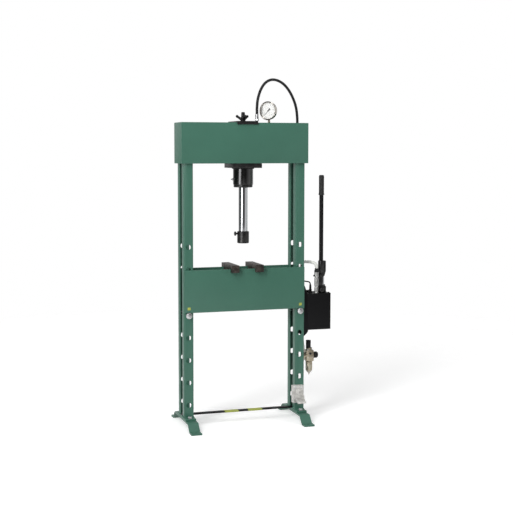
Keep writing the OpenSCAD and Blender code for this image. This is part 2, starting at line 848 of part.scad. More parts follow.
// pump body with two ears that carry the lever's pivot
module pump_block() {
    half = pump_block_w / 2;
    color(TOOL_BLACK) difference() {
        union() {
            slab([pump_block_x - half, pump_y - half, cover_top],
                 [pump_block_x + half, pump_y + half, block_top]);
            for (y = [pump_y - ear_gap / 2 - ear_t, pump_y + ear_gap / 2]) {
                slab([pivot_x - ear_w / 2, y, block_top - 1], [pivot_x + ear_w / 2, y + ear_t, pivot_z]);
                bar_y(ear_w, y, y + ear_t, pivot_x, pivot_z);
            }
        }
        bar_z(plunger_d + 2 * FIT_GAP, cover_top + 3, block_top + 1, plunger_x, pump_y);
        bar_y(pivot_d + 2 * BOLT_GAP, pump_y - 30, pump_y + 30, pivot_x, pivot_z);
        bar_y(valve_d + 2 * RUN_GAP, pump_y - half - 1, pump_y - half + valve_depth + 1, valve_x, valve_z);
    }
}

module pump_plunger() {
    color(CHROME) {
        bar_z(plunger_d, cover_top + 23, plunger_top - 2, plunger_x, pump_y);
        translate([plunger_x, pump_y, plunger_top - 2]) cylinder(d1 = plunger_d, d2 = plunger_d - 4, h = 2);
    }
}

module lever_pivot_pin() {
    reach = ear_gap / 2 + ear_t + 3;
    color(STEEL) {
        bar_y(pivot_d, pump_y - reach, pump_y + reach, pivot_x, pivot_z);
        bar_y(pivot_d + 5, pump_y - reach - 2, pump_y - reach, pivot_x, pivot_z);
        bar_y(pivot_d + 5, pump_y + reach, pump_y + reach + 2, pivot_x, pivot_z);
    }
}

// cast socket: hub on the pivot, nose over the plunger, tube seat above
module lever_socket() {
    half = ear_gap / 2 - 1;
    nose_x = plunger_x;
    color(TOOL_BLACK) difference() {
        union() {
            bar_y(24, pump_y - half, pump_y + half, pivot_x, pivot_z);
            bar_y(roller_d, pump_y - half, pump_y + half, nose_x, pivot_z);
            front_profile([
                [pivot_x - 10, pivot_z + 6], [pivot_x + 6, pivot_z - 7], [nose_x, pivot_z],
                [nose_x + 8, pivot_z], [nose_x + 15, pivot_z + 22], [nose_x + 15, socket_top],
                [lever_x + 8, socket_top], [pivot_x - 6, pivot_z + 26]
            ], pump_y - half, pump_y + half);
            bar_z(socket_d, pivot_z + 16, socket_top, lever_x, pump_y);
        }
        bar_z(lever_d + 2 * BOLT_GAP, lever_seat, socket_top + 1, lever_x, pump_y);
        bar_y(pivot_d + 2 * FIT_GAP, pump_y - half - 5, pump_y + half + 5, pivot_x, pivot_z);
    }
}

module lever_tube() {
    color(TOOL_BLACK) difference() {
        bar_z(lever_d, lever_seat, lever_top_z - 4, lever_x, pump_y);
        bar_z(lever_d - 5, lever_seat - 1, lever_top_z, lever_x, pump_y);
    }
}

module lever_grip() {
    color([0.06, 0.06, 0.06]) difference() {
        union() {
            bar_z(grip_d, lever_top_z - grip_len, lever_top_z - 5, lever_x, pump_y);
            translate([lever_x, pump_y, lever_top_z - 5]) cylinder(d1 = grip_d, d2 = grip_d - 10, h = 5);
            bar_z(grip_d + 4, lever_top_z - grip_len, lever_top_z - grip_len + 6, lever_x, pump_y);
        }
        bar_z(lever_d + 2 * BOLT_GAP, lever_top_z - grip_len - 1, lever_top_z - 4, lever_x, pump_y);
    }
}

// T-shaped release knob on the front of the pump body
module release_knob() {
    face = pump_y - pump_block_w / 2;
    color(TOOL_BLACK) {
        bar_y(valve_d, face - 16, face + valve_depth, valve_x, valve_z);
        bar_y(26, face - 26, face - 14, valve_x, valve_z);
    }
}

// air motor: bright barrel with black ends and a pipe stub on top
module air_motor() {
    color(ALLOY) {
        bar_z(motor_d + 5, cover_top, cover_top + 8, motor_x, motor_y);
        bar_z(motor_d, cover_top + 7, motor_top - 8, motor_x, motor_y);
        bar_z(motor_d + 3, motor_top - 9, motor_top, motor_x, motor_y);
        bar_z(air_d + 4, motor_top - 1, AIR_ROUTE[0][2], motor_x, motor_y);
        bar_x(9, motor_x - motor_d / 2 - 9, motor_x, motor_y, motor_top - 30);
    }
}

module air_hose() {
    color([0.86, 0.87, 0.84]) swept(curve(AIR_ROUTE, 2), air_d, [1, 0, 0]);
}

// ---------- air service unit ----------

module regulator_body() {
    half = unit_w / 2;
    top = unit_z + unit_h;
    back = AIR_ROUTE[len(AIR_ROUTE) - 1][1];
    color(BRASS) {
        slab([unit_x - 22, unit_y - 20, unit_z], [unit_x + 22, unit_y + 20, top]);
        bar_z(40, unit_z - 6, unit_z + 1, unit_x, unit_y);
        bar_z(34, top - 1, top + 12, unit_x, unit_y);
        bar_z(28, top + 11, top + 55, unit_x - 4, unit_y);
        bar_y(air_d + 6, unit_y + 18, back, unit_x, unit_z + 32);
        slab([frame_w / 2, unit_y - 16, unit_z + 16], [unit_x - 20, unit_y + 16, unit_z + 46]);
        slab([frame_w / 2, unit_y - 24, unit_z + 4], [frame_w / 2 + 5, unit_y - 1, unit_z + 58]);
        bar_x(18, unit_x + 20, unit_x + half, unit_y, unit_z + 32);
    }
}

module regulator_knob() {
    x0 = unit_x + unit_w / 2 + RUN_GAP;
    color(TOOL_BLACK) {
        bar_x(36, x0 + 2, x0 + 22, unit_y, unit_z + 32);
        translate([x0, unit_y, unit_z + 32]) rotate([0, 90, 0]) cylinder(d1 = 32, d2 = 36, h = 2);
        translate([x0 + 22, unit_y, unit_z + 32]) rotate([0, 90, 0]) cylinder(d1 = 36, d2 = 30, h = 3);
    }
}

// clear bowl with its drain nipple
module regulator_bowl() {
    top = unit_z - 6;
    color([0.80, 0.76, 0.66, 0.6]) translate([unit_x, unit_y, 0]) difference() {
        rotate_extrude() polygon([
            [0, top - 75], [4, top - 75], [4, top - 64], [9, top - 60], [17, top - 52],
            [18, top - 44], [18, top], [0, top]
        ]);
        rotate_extrude() polygon([
            [0, top - 56], [8, top - 54], [15, top - 48], [15.5, top - 43], [15.5, top - 4], [0, top - 4]
        ]);
    }
}

// ---------- pedal valve ----------

module pedal_body() {
    x0 = pedal_x - pedal_w / 2;
    y_back = -col_y;
    y_front = y_back - pedal_d;
    rib = 5;
    color(ALLOY) difference() {
        union() {
            slab([x0, y_front, pedal_z], [x0 + pedal_w, y_back, pedal_z + pedal_h]);
            for (k = [0 : 3])
                slab([x0 + 6 + 16 * k, y_front - 3, pedal_z + 44],
                     [x0 + 6 + 16 * k + rib, y_front + 1, pedal_z + pedal_h - 6]);
            for (x = [x0, x0 + pedal_w - 7])
                slab([x, y_front - 16, treadle_z - 10], [x + 7, y_front + 1, treadle_z + 14]);
        }
        bar_x(8 + 2 * FIT_GAP, x0 - 1, x0 + pedal_w + 1, y_front - 8, treadle_z + 5);
        bar_x(inlet_d, x0 + pedal_w - inlet_depth, x0 + pedal_w + 1, y_back - pedal_d / 2, inlet_z);
    }
}

// treadle that turns on its own trunnions between the cheeks
module pedal_treadle() {
    x0 = pedal_x - pedal_w / 2;
    y_front = -col_y - pedal_d;
    y_pin = y_front - 8;
    z_pin = treadle_z + 5;
    tip = y_front - treadle_len;
    color(ALLOY) {
        bar_x(8, x0 + 1, x0 + pedal_w - 1, y_pin, z_pin);
        side_profile([
            [y_pin + 3, z_pin], [y_pin + 3, z_pin + 5], [y_pin - 6, z_pin + 6], [tip, treadle_z - 14],
            [tip - 3, treadle_z - 22], [tip + 2, treadle_z - 22], [y_pin - 2, z_pin - 4]
        ], x0 + 7 + RUN_GAP, x0 + pedal_w - 7 - RUN_GAP);
    }
}

left_column();
right_column();
base_plates();
left_foot();
right_foot();
foot_bolts();
foot_nuts();
tie_bar();
head_front_plate();
head_rear_plate();
head_end_plates();
head_packers();
bed_front_plate();
bed_rear_plate();
bed_spacers();
left_bed_pin();
right_bed_pin();
left_press_block();
right_press_block();
carriage_plate();
carriage_flange();
clamp_stud();
star_knob();
cylinder_barrel();
gland_nut();
bleed_screw();
piston();
piston_seal();
return_spring();
ram_rod();
ram_nose();
nose_screw();
oil_manifold();
hose_top_fitting();
hose_pump_fitting();
hydraulic_hose();
hose_clips();
gauge_stem();
gauge_case();
gauge_dial();
gauge_needle();
gauge_glass();
pump_bracket();
bracket_bolts();
reservoir();
reservoir_cover();
pump_block();
pump_plunger();
lever_pivot_pin();
lever_socket();
lever_tube();
lever_grip();
release_knob();
air_motor();
air_hose();
regulator_body();
regulator_knob();
regulator_bowl();
pedal_body();
pedal_treadle();
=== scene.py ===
"""Looks of a floor-standing hydraulic press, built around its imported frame.

Every size is in metres, in the frame's own axes: X to the right, Y to the back, Z up.
"""

import json
import math

import bmesh
import bpy
from bpy.props import FloatProperty, FloatVectorProperty, IntProperty, PointerProperty
from mathutils import Matrix, Vector

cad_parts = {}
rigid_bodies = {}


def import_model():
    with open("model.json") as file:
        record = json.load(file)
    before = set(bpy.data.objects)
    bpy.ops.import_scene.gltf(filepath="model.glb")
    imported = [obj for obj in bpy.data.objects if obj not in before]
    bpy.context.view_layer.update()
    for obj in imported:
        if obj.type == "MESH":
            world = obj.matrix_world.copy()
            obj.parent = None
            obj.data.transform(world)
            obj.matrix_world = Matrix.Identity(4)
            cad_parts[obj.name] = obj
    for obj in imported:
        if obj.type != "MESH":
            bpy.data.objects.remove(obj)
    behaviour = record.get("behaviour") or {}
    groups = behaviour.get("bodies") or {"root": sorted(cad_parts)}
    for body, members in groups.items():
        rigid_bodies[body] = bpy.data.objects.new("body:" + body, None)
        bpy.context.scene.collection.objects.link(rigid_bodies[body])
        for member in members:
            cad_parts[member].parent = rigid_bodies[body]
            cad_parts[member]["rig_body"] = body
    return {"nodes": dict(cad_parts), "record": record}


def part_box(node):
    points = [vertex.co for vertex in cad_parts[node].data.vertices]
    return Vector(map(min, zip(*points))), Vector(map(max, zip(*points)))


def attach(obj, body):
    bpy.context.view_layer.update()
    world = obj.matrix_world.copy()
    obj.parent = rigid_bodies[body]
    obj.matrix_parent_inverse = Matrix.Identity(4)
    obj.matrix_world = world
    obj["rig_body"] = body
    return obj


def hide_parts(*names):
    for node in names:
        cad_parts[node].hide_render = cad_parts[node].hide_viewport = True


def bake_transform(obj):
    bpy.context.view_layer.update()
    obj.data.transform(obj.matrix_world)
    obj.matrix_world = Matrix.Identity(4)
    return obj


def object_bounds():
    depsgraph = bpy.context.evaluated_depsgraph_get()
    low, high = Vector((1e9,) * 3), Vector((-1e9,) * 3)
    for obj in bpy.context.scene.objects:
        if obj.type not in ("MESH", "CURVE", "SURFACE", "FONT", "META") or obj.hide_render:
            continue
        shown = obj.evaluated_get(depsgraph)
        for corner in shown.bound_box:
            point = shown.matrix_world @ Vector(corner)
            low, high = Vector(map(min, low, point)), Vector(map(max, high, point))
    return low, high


bl_info = {
    "name": "Hydraulic shop press",
    "version": (1, 0, 0),
    "blender": (4, 5, 0),
    "location": "3D View > Sidebar > Press",
    "description": "Builds the looks of a floor-standing hydraulic press around its frame",
    "category": "Add Mesh",
}

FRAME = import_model()
NODES = FRAME["nodes"]
CAD_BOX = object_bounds()
MM = 0.001

# route of the oil hose, from the carriage's fitting to the pump, in millimetres
OIL_ROUTE = [
    (89, 0, 1732), (89, 0, 1748), (89, 0, 1764), (94, 1, 1812), (112, 5, 1865),
    (142, 14, 1905), (182, 26, 1924), (229, 42, 1920), (276, 58, 1894),
    (318, 74, 1846), (349, 86, 1782), (362, 94, 1710), (361, 96, 1620),
    (354, 95, 1490), (352, 95, 1350), (353, 95, 1200), (354, 95, 1050),
    (356, 95, 920), (360, 89, 850), (364, 78, 812),
]
# steel pipe that carries the oil on, from the hose to the pump
OIL_PIPE = [
    (363, 81, 820), (365, 74, 802), (368, 62, 788), (374, 42, 783), (384, 24, 782),
    (396, 9, 781), (404, 2, 779), (409, 0, 772), (411, 0, 762), (411, 0, 748),
]
OIL_PIPE_D = 0.0075
# index of a point partway down the oil route
HOSE_LOOSE_END = 12
OIL_HOSE_D = 0.0152

# route of the air tube, from the air motor to the service unit, in millimetres
AIR_ROUTE = [
    (434, -37, 855), (434, -37, 863), (434, -37, 871), (427, -32, 888),
    (411, -14, 894), (398, 20, 894), (389, 58, 887), (386, 83, 861),
    (386, 92, 820), (386, 93, 740), (386, 91, 640), (387, 88, 540),
    (390, 80, 450), (394, 66, 394), (395, 48, 366), (395, 32, 362),
    (395, 24, 362), (395, 16, 362),
]
AIR_TUBE_D = 0.018

# the gauge faces the front-left
GAUGE_TURN = math.radians(50)
DIAL_ZERO = math.radians(225)
DIAL_SWEEP = math.radians(270)


# ---------- settings ----------

class PressSizes(bpy.types.PropertyGroup):
    """Sizes of the small details that finish the frame's parts."""

    plate_edge: FloatProperty(
        name="Plate edge", description="Rounding of the edges of plates and flat bars",
        default=0.0016, min=0.0002, max=0.004, unit="LENGTH")
    channel_edge: FloatProperty(
        name="Channel edge", description="Rounding of a column bar's outer corners",
        default=0.0052, min=0.001, max=0.006, unit="LENGTH")
    bend_run: FloatProperty(
        name="Foot bend", description="Length of each bend in a foot's flat bar",
        default=0.009, min=0.002, max=0.014, unit="LENGTH")
    machined_edge: FloatProperty(
        name="Machined edge", description="Chamfer of machined steel parts",
        default=0.0009, min=0.0001, max=0.003, unit="LENGTH")
    cast_edge: FloatProperty(
        name="Cast edge", description="Rounding of cast parts",
        default=0.0022, min=0.0005, max=0.004, unit="LENGTH")
    weld_size: FloatProperty(
        name="Weld size", description="Leg of the weld beads",
        default=0.0046, min=0.002, max=0.008, unit="LENGTH")
    weld_pitch: FloatProperty(
        name="Weld pitch", description="Distance between the ripples of a weld",
        default=0.0028, min=0.001, max=0.006, unit="LENGTH")
    grip_ribs: IntProperty(
        name="Grip ribs", description="Number of ribs round the lever's grip",
        default=22, min=0, max=40)
    knob_ribs: IntProperty(
        name="Knob ribs", description="Number of ribs round the pressure knob",
        default=28, min=8, max=60)
    dial_divisions: IntProperty(
        name="Dial divisions", description="Number of divisions on the gauge's dial",
        default=25, min=10, max=100)


class PressColours(bpy.types.PropertyGroup):
    """Main colours of the press."""

    green: FloatVectorProperty(
        name="Frame green", description="Paint of the frame", subtype="COLOR", size=3,
        default=(0.041, 0.125, 0.088), min=0, max=1)
    black: FloatVectorProperty(
        name="Black enamel", description="Paint of the pump and cylinder", subtype="COLOR",
        size=3, default=(0.0045, 0.0045, 0.005), min=0, max=1)
    tape: FloatVectorProperty(
        name="Tape", description="Plain marking tape on the tie bar and the bed",
        subtype="COLOR", size=3, default=(0.34, 0.38, 0.07), min=0, max=1)


class PressStudio(bpy.types.PropertyGroup):
    """Light of the studio."""

    key_power: FloatProperty(
        name="Key light", description="Power of the large light at the front left",
        default=84, min=0, max=5000, unit="POWER")
    fill_power: FloatProperty(
        name="Fill light", description="Power of the light at the front right",
        default=50, min=0, max=5000, unit="POWER")
    top_power: FloatProperty(
        name="Top light", description="Power of the light overhead",
        default=18, min=0, max=5000, unit="POWER")
    sky: FloatProperty(
        name="Surroundings", description="Brightness of the soft light from all sides",
        default=0.40, min=0, max=4)
    walls: FloatProperty(
        name="Walls", description="Brightness of the unlit walls that metal reflects",
        default=0.10, min=0, max=4)


# ---------- places taken from the frame ----------

def low(node):
    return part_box(node)[0]


def high(node):
    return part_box(node)[1]


def middle(node):
    a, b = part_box(node)
    return (a + b) / 2


def body_of_node(node):
    return NODES[node]["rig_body"]


# ---------- meshes ----------

def new_object(name, data):
    """A new object, linked to the scene."""
    thing = bpy.data.objects.new(name, data)
    bpy.context.scene.collection.objects.link(thing)
    return thing


def add_piece(name, mesh, body, slot, finish=None, stands_for=()):
    """Links a mesh as a piece that rides on a body and takes its finish from a slot."""
    piece = new_object(name, mesh)
    if finish is None:
        finish = finish_for(slot)
    if not mesh.materials:
        mesh.materials.append(finish)
    if stands_for:
        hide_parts(*stands_for)
    if body:
        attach(piece, body)
    return piece


def mesh_from(bm, name, sharp_degrees=35):
    """Turns a bmesh into a mesh that is smooth up to the given angle."""
    bmesh.ops.recalc_face_normals(bm, faces=bm.faces)
    mesh = bpy.data.meshes.new(name)
    bm.to_mesh(mesh)
    bm.free()
    mesh.shade_smooth()
    mesh.set_sharp_from_angle(angle=math.radians(sharp_degrees))
    return mesh


def crisp(mesh):
    """Keeps the edges of a bolt's head and washer sharp."""
    mesh.set_sharp_from_angle(angle=math.radians(30))


def settled(thing):
    """Plain mesh of an object with its modifiers applied; the object is removed."""
    bpy.context.view_layer.update()
    depsgraph = bpy.context.evaluated_depsgraph_get()
    mesh = bpy.data.meshes.new_from_object(thing.evaluated_get(depsgraph))
    mesh.name = thing.name
    bpy.data.objects.remove(thing)
    return mesh


def joined(name, *meshes):
    """One mesh made of several."""
    bm = bmesh.new()
    for mesh in meshes:
        bm.from_mesh(mesh)
        bpy.data.meshes.remove(mesh)
    result = bpy.data.meshes.new(name)
    bm.to_mesh(result)
    bm.free()
    return result


def softened(node, widths, segments=3):
    """Copy of a frame part with rounded edges.

    widths(along, centre, angle) gives the rounding of one edge from its vector, its
    midpoint and the angle between its faces; a plain number rounds every edge alike.
    """
    bm = bmesh.new()
    bm.from_mesh(NODES[node].data)
    bmesh.ops.remove_doubles(bm, verts=bm.verts, dist=2e-5)
    bmesh.ops.dissolve_limit(bm, angle_limit=math.radians(0.6), verts=bm.verts, edges=bm.edges)
    weight = bm.edges.layers.float.new("bevel_weight_edge")
    wanted = {}
    for edge in bm.edges:
        if len(edge.link_faces) != 2:
            continue
        angle = edge.calc_face_angle(0)
        if angle < math.radians(27):
            continue
        a, b = (v.co for v in edge.verts)
        wanted[edge] = widths(b - a, (a + b) / 2, angle) if callable(widths) else widths
    widest = max(wanted.values())
    for edge, width in wanted.items():
        edge[weight] = width / widest
    mesh = bpy.data.meshes.new(node)
    bm.to_mesh(mesh)
    bm.free()
    mesh.materials.clear()
    mesh.shade_smooth()
    copy = new_object(node + "_copy", mesh)
    bevel = copy.modifiers.new("edges", "BEVEL")
    bevel.limit_method = "WEIGHT"
    bevel.width = widest
    bevel.segments = segments
    bevel.use_clamp_overlap = False
    bevel.harden_normals = True
    return settled(copy)


def long_and_short(wide, fine, length=0.012):
    """Rounds edges longer than a length by wide, and the others by fine."""
    return lambda along, centre, angle: wide if along.length > length else fine


def soften_node(node, widths, slot, segments=3, finish=None):
    """Replaces a frame part with its softened copy."""
    mesh = softened(node, widths, segments)
    add_piece(f"{node}_finished", mesh, body_of_node(node), slot, finish, stands_for=[node])


def rounded(points, radius, steps=4):
    """Open outline whose inner corners are replaced by small curves."""
    points = [Vector(p) for p in points]
    result = [points[0]]
    for before, corner, after in zip(points, points[1:], points[2:]):
        reach = min(radius, (before - corner).length * 0.45, (after - corner).length * 0.45)
        start = corner + (before - corner).normalized() * reach
        end = corner + (after - corner).normalized() * reach
        for i in range(steps + 1):
            t = i / steps
            result.append((1 - t) ** 2 * start + 2 * t * (1 - t) * corner + t * t * end)
    result.append(points[-1])
    return result


def turned(name, outline, base=(0, 0, 0), axis=(0, 0, 1), steps=64, sharp_degrees=35):
    """Solid of revolution; the outline is (radius, distance along the axis) from end to end."""
    bm = bmesh.new()
    rings = []
    for radius, along in outline:
        if radius < 1e-6:
            rings.append([bm.verts.new((0, 0, along))])
            continue
        rings.append([
            bm.verts.new((radius * math.cos(math.tau * i / steps),
                          radius * math.sin(math.tau * i / steps), along))
            for i in range(steps)])
    for one, two in zip(rings, rings[1:]):
        for i in range(steps):
            j = (i + 1) % steps
            corners = [one[i % len(one)], one[j % len(one)], two[j % len(two)], two[i % len(two)]]
            unique = list(dict.fromkeys(corners))
            if len(unique) > 2:
                bm.faces.new(unique)
    if len(rings[0]) > 1 and len(rings[-1]) > 1:
        closed = (Vector(outline[0]) - Vector(outline[-1])).length < 1e-7
        if closed:
            bmesh.ops.remove_doubles(bm, verts=rings[0] + rings[-1], dist=1e-7)
        else:
            bm.faces.new(rings[0])
            bm.faces.new(rings[-1])
    turn = Vector((0, 0, 1)).rotation_difference(Vector(axis)).to_matrix().to_4x4()
    bm.transform(Matrix.Translation(base) @ turn)
    return mesh_from(bm, name, sharp_degrees)


def block(name, corner, opposite, radius, segments=3):
    """Box between two corners with rounded edges."""
    corner, opposite = Vector(corner), Vector(opposite)
    bm = bmesh.new()
    bmesh.ops.create_cube(bm, size=1)
    bmesh.ops.scale(bm, vec=opposite - corner, verts=bm.verts)
    bmesh.ops.translate(bm, vec=(corner + opposite) / 2, verts=bm.verts)
    bmesh.ops.bevel(bm, geom=list(bm.edges), offset=radius, segments=segments,
                    profile=0.5, affect="EDGES")
    return mesh_from(bm, name, 50)


def hexagon(name, flats, start, length, axis=(0, 0, 1), chamfer=0.0011):
    """Hexagon nut or bolt head with its corners chamfered at both ends."""
    bm = bmesh.new()
    radius = flats / 2 / math.cos(math.pi / 6)
    bmesh.ops.create_cone(bm, cap_ends=True, segments=6, radius1=radius, radius2=radius,
                          depth=length)
    ends = [e for e in bm.edges if abs(e.verts[0].co.z - e.verts[1].co.z) < 1e-7]
    bmesh.ops.bevel(bm, geom=ends, offset=chamfer, segments=2, profile=0.6, affect="EDGES")
    bmesh.ops.translate(bm, vec=(0, 0, length / 2), verts=bm.verts)
    turn = Vector((0, 0, 1)).rotation_difference(Vector(axis)).to_matrix().to_4x4()
    bm.transform(Matrix.Translation(start) @ turn)
    return mesh_from(bm, name, 25)


def path_mesh(name, points, closed=False):
    """Mesh of edges through points, for a node tree to grow along."""
    count = len(points)
    edges = [(i, (i + 1) % count) for i in range(count if closed else count - 1)]
    mesh = bpy.data.meshes.new(name)
    mesh.from_pydata([tuple(p) for p in points], edges, [])
    return mesh


def point_mesh(name, points):
    mesh = bpy.data.meshes.new(name)
    mesh.from_pydata([tuple(p) for p in points], [], [])
    return mesh


def seed_point():
    """Mesh for a tree that grows its shape from nothing."""
    return point_mesh("seed", [(0, 0, 0)])


def smooth_route(points, steps):
    """Catmull-Rom curve through the points of a route, given in millimetres."""
    points = [Vector(p) * MM for p in points]
    ends = [points[0], *points, points[-1]]
    curve = []
    for a, b, c, d in zip(ends, ends[1:], ends[2:], ends[3:]):
        for i in range(steps):
            t = i / steps
            curve.append(0.5 * (2 * b + (c - a) * t + (2 * a - 5 * b + 4 * c - d) * t * t
                                + (3 * b - a - 3 * c + d) * t ** 3))
    return [*curve, points[-1]]


# ---------- geometry nodes ----------

SOCKET_KINDS = {float: "NodeSocketFloat", int: "NodeSocketInt", tuple: "NodeSocketVector"}


class Growth:
    """A geometry node tree with named inputs, written as a chain of nodes."""

    def __init__(self, name, **inputs):
        self.tree = bpy.data.node_groups.new(name, "GeometryNodeTree")
        face = self.tree.interface
        face.new_socket("Geometry", in_out="INPUT", socket_type="NodeSocketGeometry")
        for label, value in inputs.items():
            socket = face.new_socket(label, in_out="INPUT", socket_type=SOCKET_KINDS[type(value)])
            socket.default_value = value
        face.new_socket("Geometry", in_out="OUTPUT", socket_type="NodeSocketGeometry")
        self.source = self.tree.nodes.new("NodeGroupInput").outputs

    def add(self, kind, sockets=None, **settings):
        """Adds a node; sockets maps input names to values or to other nodes' outputs."""
        node = self.tree.nodes.new(kind)
        for label, value in settings.items():
            setattr(node, label, value)
        for label, value in (sockets or {}).items():
            target = next(s for s in node.inputs if s.name == label and s.enabled)
            for item in value if isinstance(value, list) else [value]:
                if isinstance(item, bpy.types.NodeSocket):
                    self.tree.links.new(item, target)
                else:
                    target.default_value = item
        return next(s for s in node.outputs if s.enabled)

    def math(self, operation, *values):
        """Arithmetic on sockets and numbers."""
        node = self.tree.nodes.new("ShaderNodeMath")
        node.operation = operation
        for target, value in zip(node.inputs, values):
            if isinstance(value, bpy.types.NodeSocket):
                self.tree.links.new(value, target)
            else:
                target.default_value = value
        return node.outputs[0]

    def vector(self, x=0.0, y=0.0, z=0.0):
        return self.add("ShaderNodeCombineXYZ", {"X": x, "Y": y, "Z": z})

    def end(self, geometry, material):
        """Realizes the instances, sets the material and closes the tree."""
        real = self.add("GeometryNodeRealizeInstances", {"Geometry": geometry})
        painted = self.add("GeometryNodeSetMaterial", {"Geometry": real, "Material": material})
        output = self.tree.nodes.new("NodeGroupOutput")
        self.tree.links.new(painted, output.inputs["Geometry"])

    def grow(self, name, base, **values):
        """Plain mesh that the tree grows from a base mesh."""
        carrier = new_object(name, base)
        modifier = carrier.modifiers.new("growth", "NODES")
        modifier.node_group = self.tree
        for item in self.tree.interface.items_tree:
            if item.item_type == "SOCKET" and item.in_out == "INPUT" and item.name in values:
                modifier[item.identifier] = values[item.name]
        mesh = settled(carrier)
        mesh.shade_smooth()
        return mesh


def tube_growth(material):
    """Round tube along a path; it stores the distance along and the way round."""
    g = Growth("Tube along a path", Radius=0.006, Sides=20)
    curve = g.add("GeometryNodeMeshToCurve", {"Mesh": g.source["Geometry"]})
    parameter = g.tree.nodes.new("GeometryNodeSplineParameter")
    marked = g.add("GeometryNodeStoreNamedAttribute",
                   {"Geometry": curve, "Name": "along", "Value": parameter.outputs["Length"]},
                   data_type="FLOAT", domain="POINT")
    profile = g.add("GeometryNodeCurvePrimitiveCircle",
                    {"Resolution": g.source["Sides"], "Radius": g.source["Radius"]})
    around = g.add("GeometryNodeStoreNamedAttribute",
                   {"Geometry": profile, "Name": "around",
                    "Value": g.tree.nodes.new("GeometryNodeSplineParameter").outputs["Factor"]},
                   data_type="FLOAT", domain="POINT")
    tube = g.add("GeometryNodeCurveToMesh",
                 {"Curve": marked, "Profile Curve": around, "Fill Caps": True})
    g.end(tube, material)
    return g


def weld_growth(material):
    """Row of overlapping ripples along a path, each a little different."""
    g = Growth("Weld bead", Leg=0.005, Pitch=0.003, Seed=3)
    curve = g.add("GeometryNodeMeshToCurve", {"Mesh": g.source["Geometry"]})
    points = g.tree.nodes.new("GeometryNodeCurveToPoints")
    points.mode = "LENGTH"
    g.tree.links.new(curve, points.inputs["Curve"])
    g.tree.links.new(g.source["Pitch"], points.inputs["Length"])
    ripple = g.add("GeometryNodeMeshUVSphere",
                   {"Segments": 10, "Rings": 6, "Radius": g.source["Leg"]})
    size = g.add("FunctionNodeRandomValue",
                 {"Min": (0.9, 0.9, 0.5), "Max": (1.08, 1.08, 0.72), "Seed": g.source["Seed"]},
                 data_type="FLOAT_VECTOR")
    bead = g.add("GeometryNodeInstanceOnPoints",
                 {"Points": points.outputs["Points"], "Instance": ripple,
                  "Rotation": points.outputs["Rotation"], "Scale": size})
    g.end(bead, material)
    return g


def bolt_growth(material):
    """Hexagon head on a round washer, with its shank, at every point."""
    g = Growth("Hexagon bolts", Flats=0.018, Head=0.008, Washer=0.012, Thickness=0.0025,
               Shank=0.006, Reach=0.03, Direction=(0.0, 0.0, 1.0))
    s = g.source
    corner = g.math("DIVIDE", s["Flats"], 2 * math.cos(math.pi / 6))
    rise = g.math("ADD", s["Thickness"], g.math("MULTIPLY", s["Head"], 0.5))
    prism = g.add("GeometryNodeMeshCylinder",
                  {"Vertices": 6, "Radius": corner, "Depth": s["Head"]})
    cone = g.add("GeometryNodeMeshCone",
                 {"Vertices": 48, "Radius Top": g.math("MULTIPLY", s["Flats"], 0.49),
                  "Radius Bottom": g.math("ADD", corner, s["Head"]),
                  "Depth": g.math("MULTIPLY", s["Head"], 1.1)})
    sunk = g.add("GeometryNodeTransform",
                 {"Geometry": cone, "Translation": g.vector(z=g.math("MULTIPLY", s["Head"], -0.57))})
    head = g.add("GeometryNodeMeshBoolean", {"Mesh": [prism, sunk]}, operation="INTERSECT",
                 solver="EXACT")
    head = g.add("GeometryNodeTransform", {"Geometry": head, "Translation": g.vector(z=rise)})
    washer = g.add("GeometryNodeMeshCylinder",
                   {"Vertices": 40, "Radius": s["Washer"], "Depth": s["Thickness"]})
    washer = g.add("GeometryNodeTransform",
                   {"Geometry": washer,
                    "Translation": g.vector(z=g.math("MULTIPLY", s["Thickness"], 0.5))})
    shank = g.add("GeometryNodeMeshCylinder",
                  {"Vertices": 32, "Radius": s["Shank"], "Depth": s["Reach"]})
    shank = g.add("GeometryNodeTransform",
                  {"Geometry": shank,
                   "Translation": g.vector(z=g.math("MULTIPLY", s["Reach"], -0.5))})
    bolt = g.add("GeometryNodeJoinGeometry", {"Geometry": [head, washer, shank]})
    turn = g.add("FunctionNodeAlignRotationToVector", {"Vector": s["Direction"]}, axis="Z")
    placed = g.add("GeometryNodeInstanceOnPoints",
                   {"Points": s["Geometry"], "Instance": bolt, "Rotation": turn})
    g.end(placed, material)
    return g


def rib_growth(material):
    """Rounded ribs set side by side round a circle about the Z axis."""
    g = Growth("Ribs round a knob", Radius=0.018, Count=24, Length=0.02, Rib=0.0012)
    s = g.source
    circle = g.add("GeometryNodeCurvePrimitiveCircle",
                   {"Resolution": s["Count"], "Radius": s["Radius"]})
    points = g.add("GeometryNodeCurveToPoints", {"Curve": circle}, mode="EVALUATED")
    rib = g.add("GeometryNodeMeshCylinder",
                {"Vertices": 10, "Radius": s["Rib"], "Depth": s["Length"]})
    ribs = g.add("GeometryNodeInstanceOnPoints", {"Points": points, "Instance": rib})
    g.end(ribs, material)
    return g


def ring_growth(material):
    """Rounded rings stacked along the Z axis."""
    g = Growth("Rings on a rod", Radius=0.015, Wire=0.0011, Count=20, Pitch=0.0045)
    s = g.source
    line = g.add("GeometryNodeMeshLine", {"Count": s["Count"], "Offset": g.vector(z=s["Pitch"])})
    circle = g.add("GeometryNodeCurvePrimitiveCircle", {"Resolution": 48, "Radius": s["Radius"]})
    wire = g.add("GeometryNodeCurvePrimitiveCircle", {"Resolution": 8, "Radius": s["Wire"]})
    ring = g.add("GeometryNodeCurveToMesh", {"Curve": circle, "Profile Curve": wire})
    rings = g.add("GeometryNodeInstanceOnPoints", {"Points": line, "Instance": ring})
    g.end(rings, material)
    return g


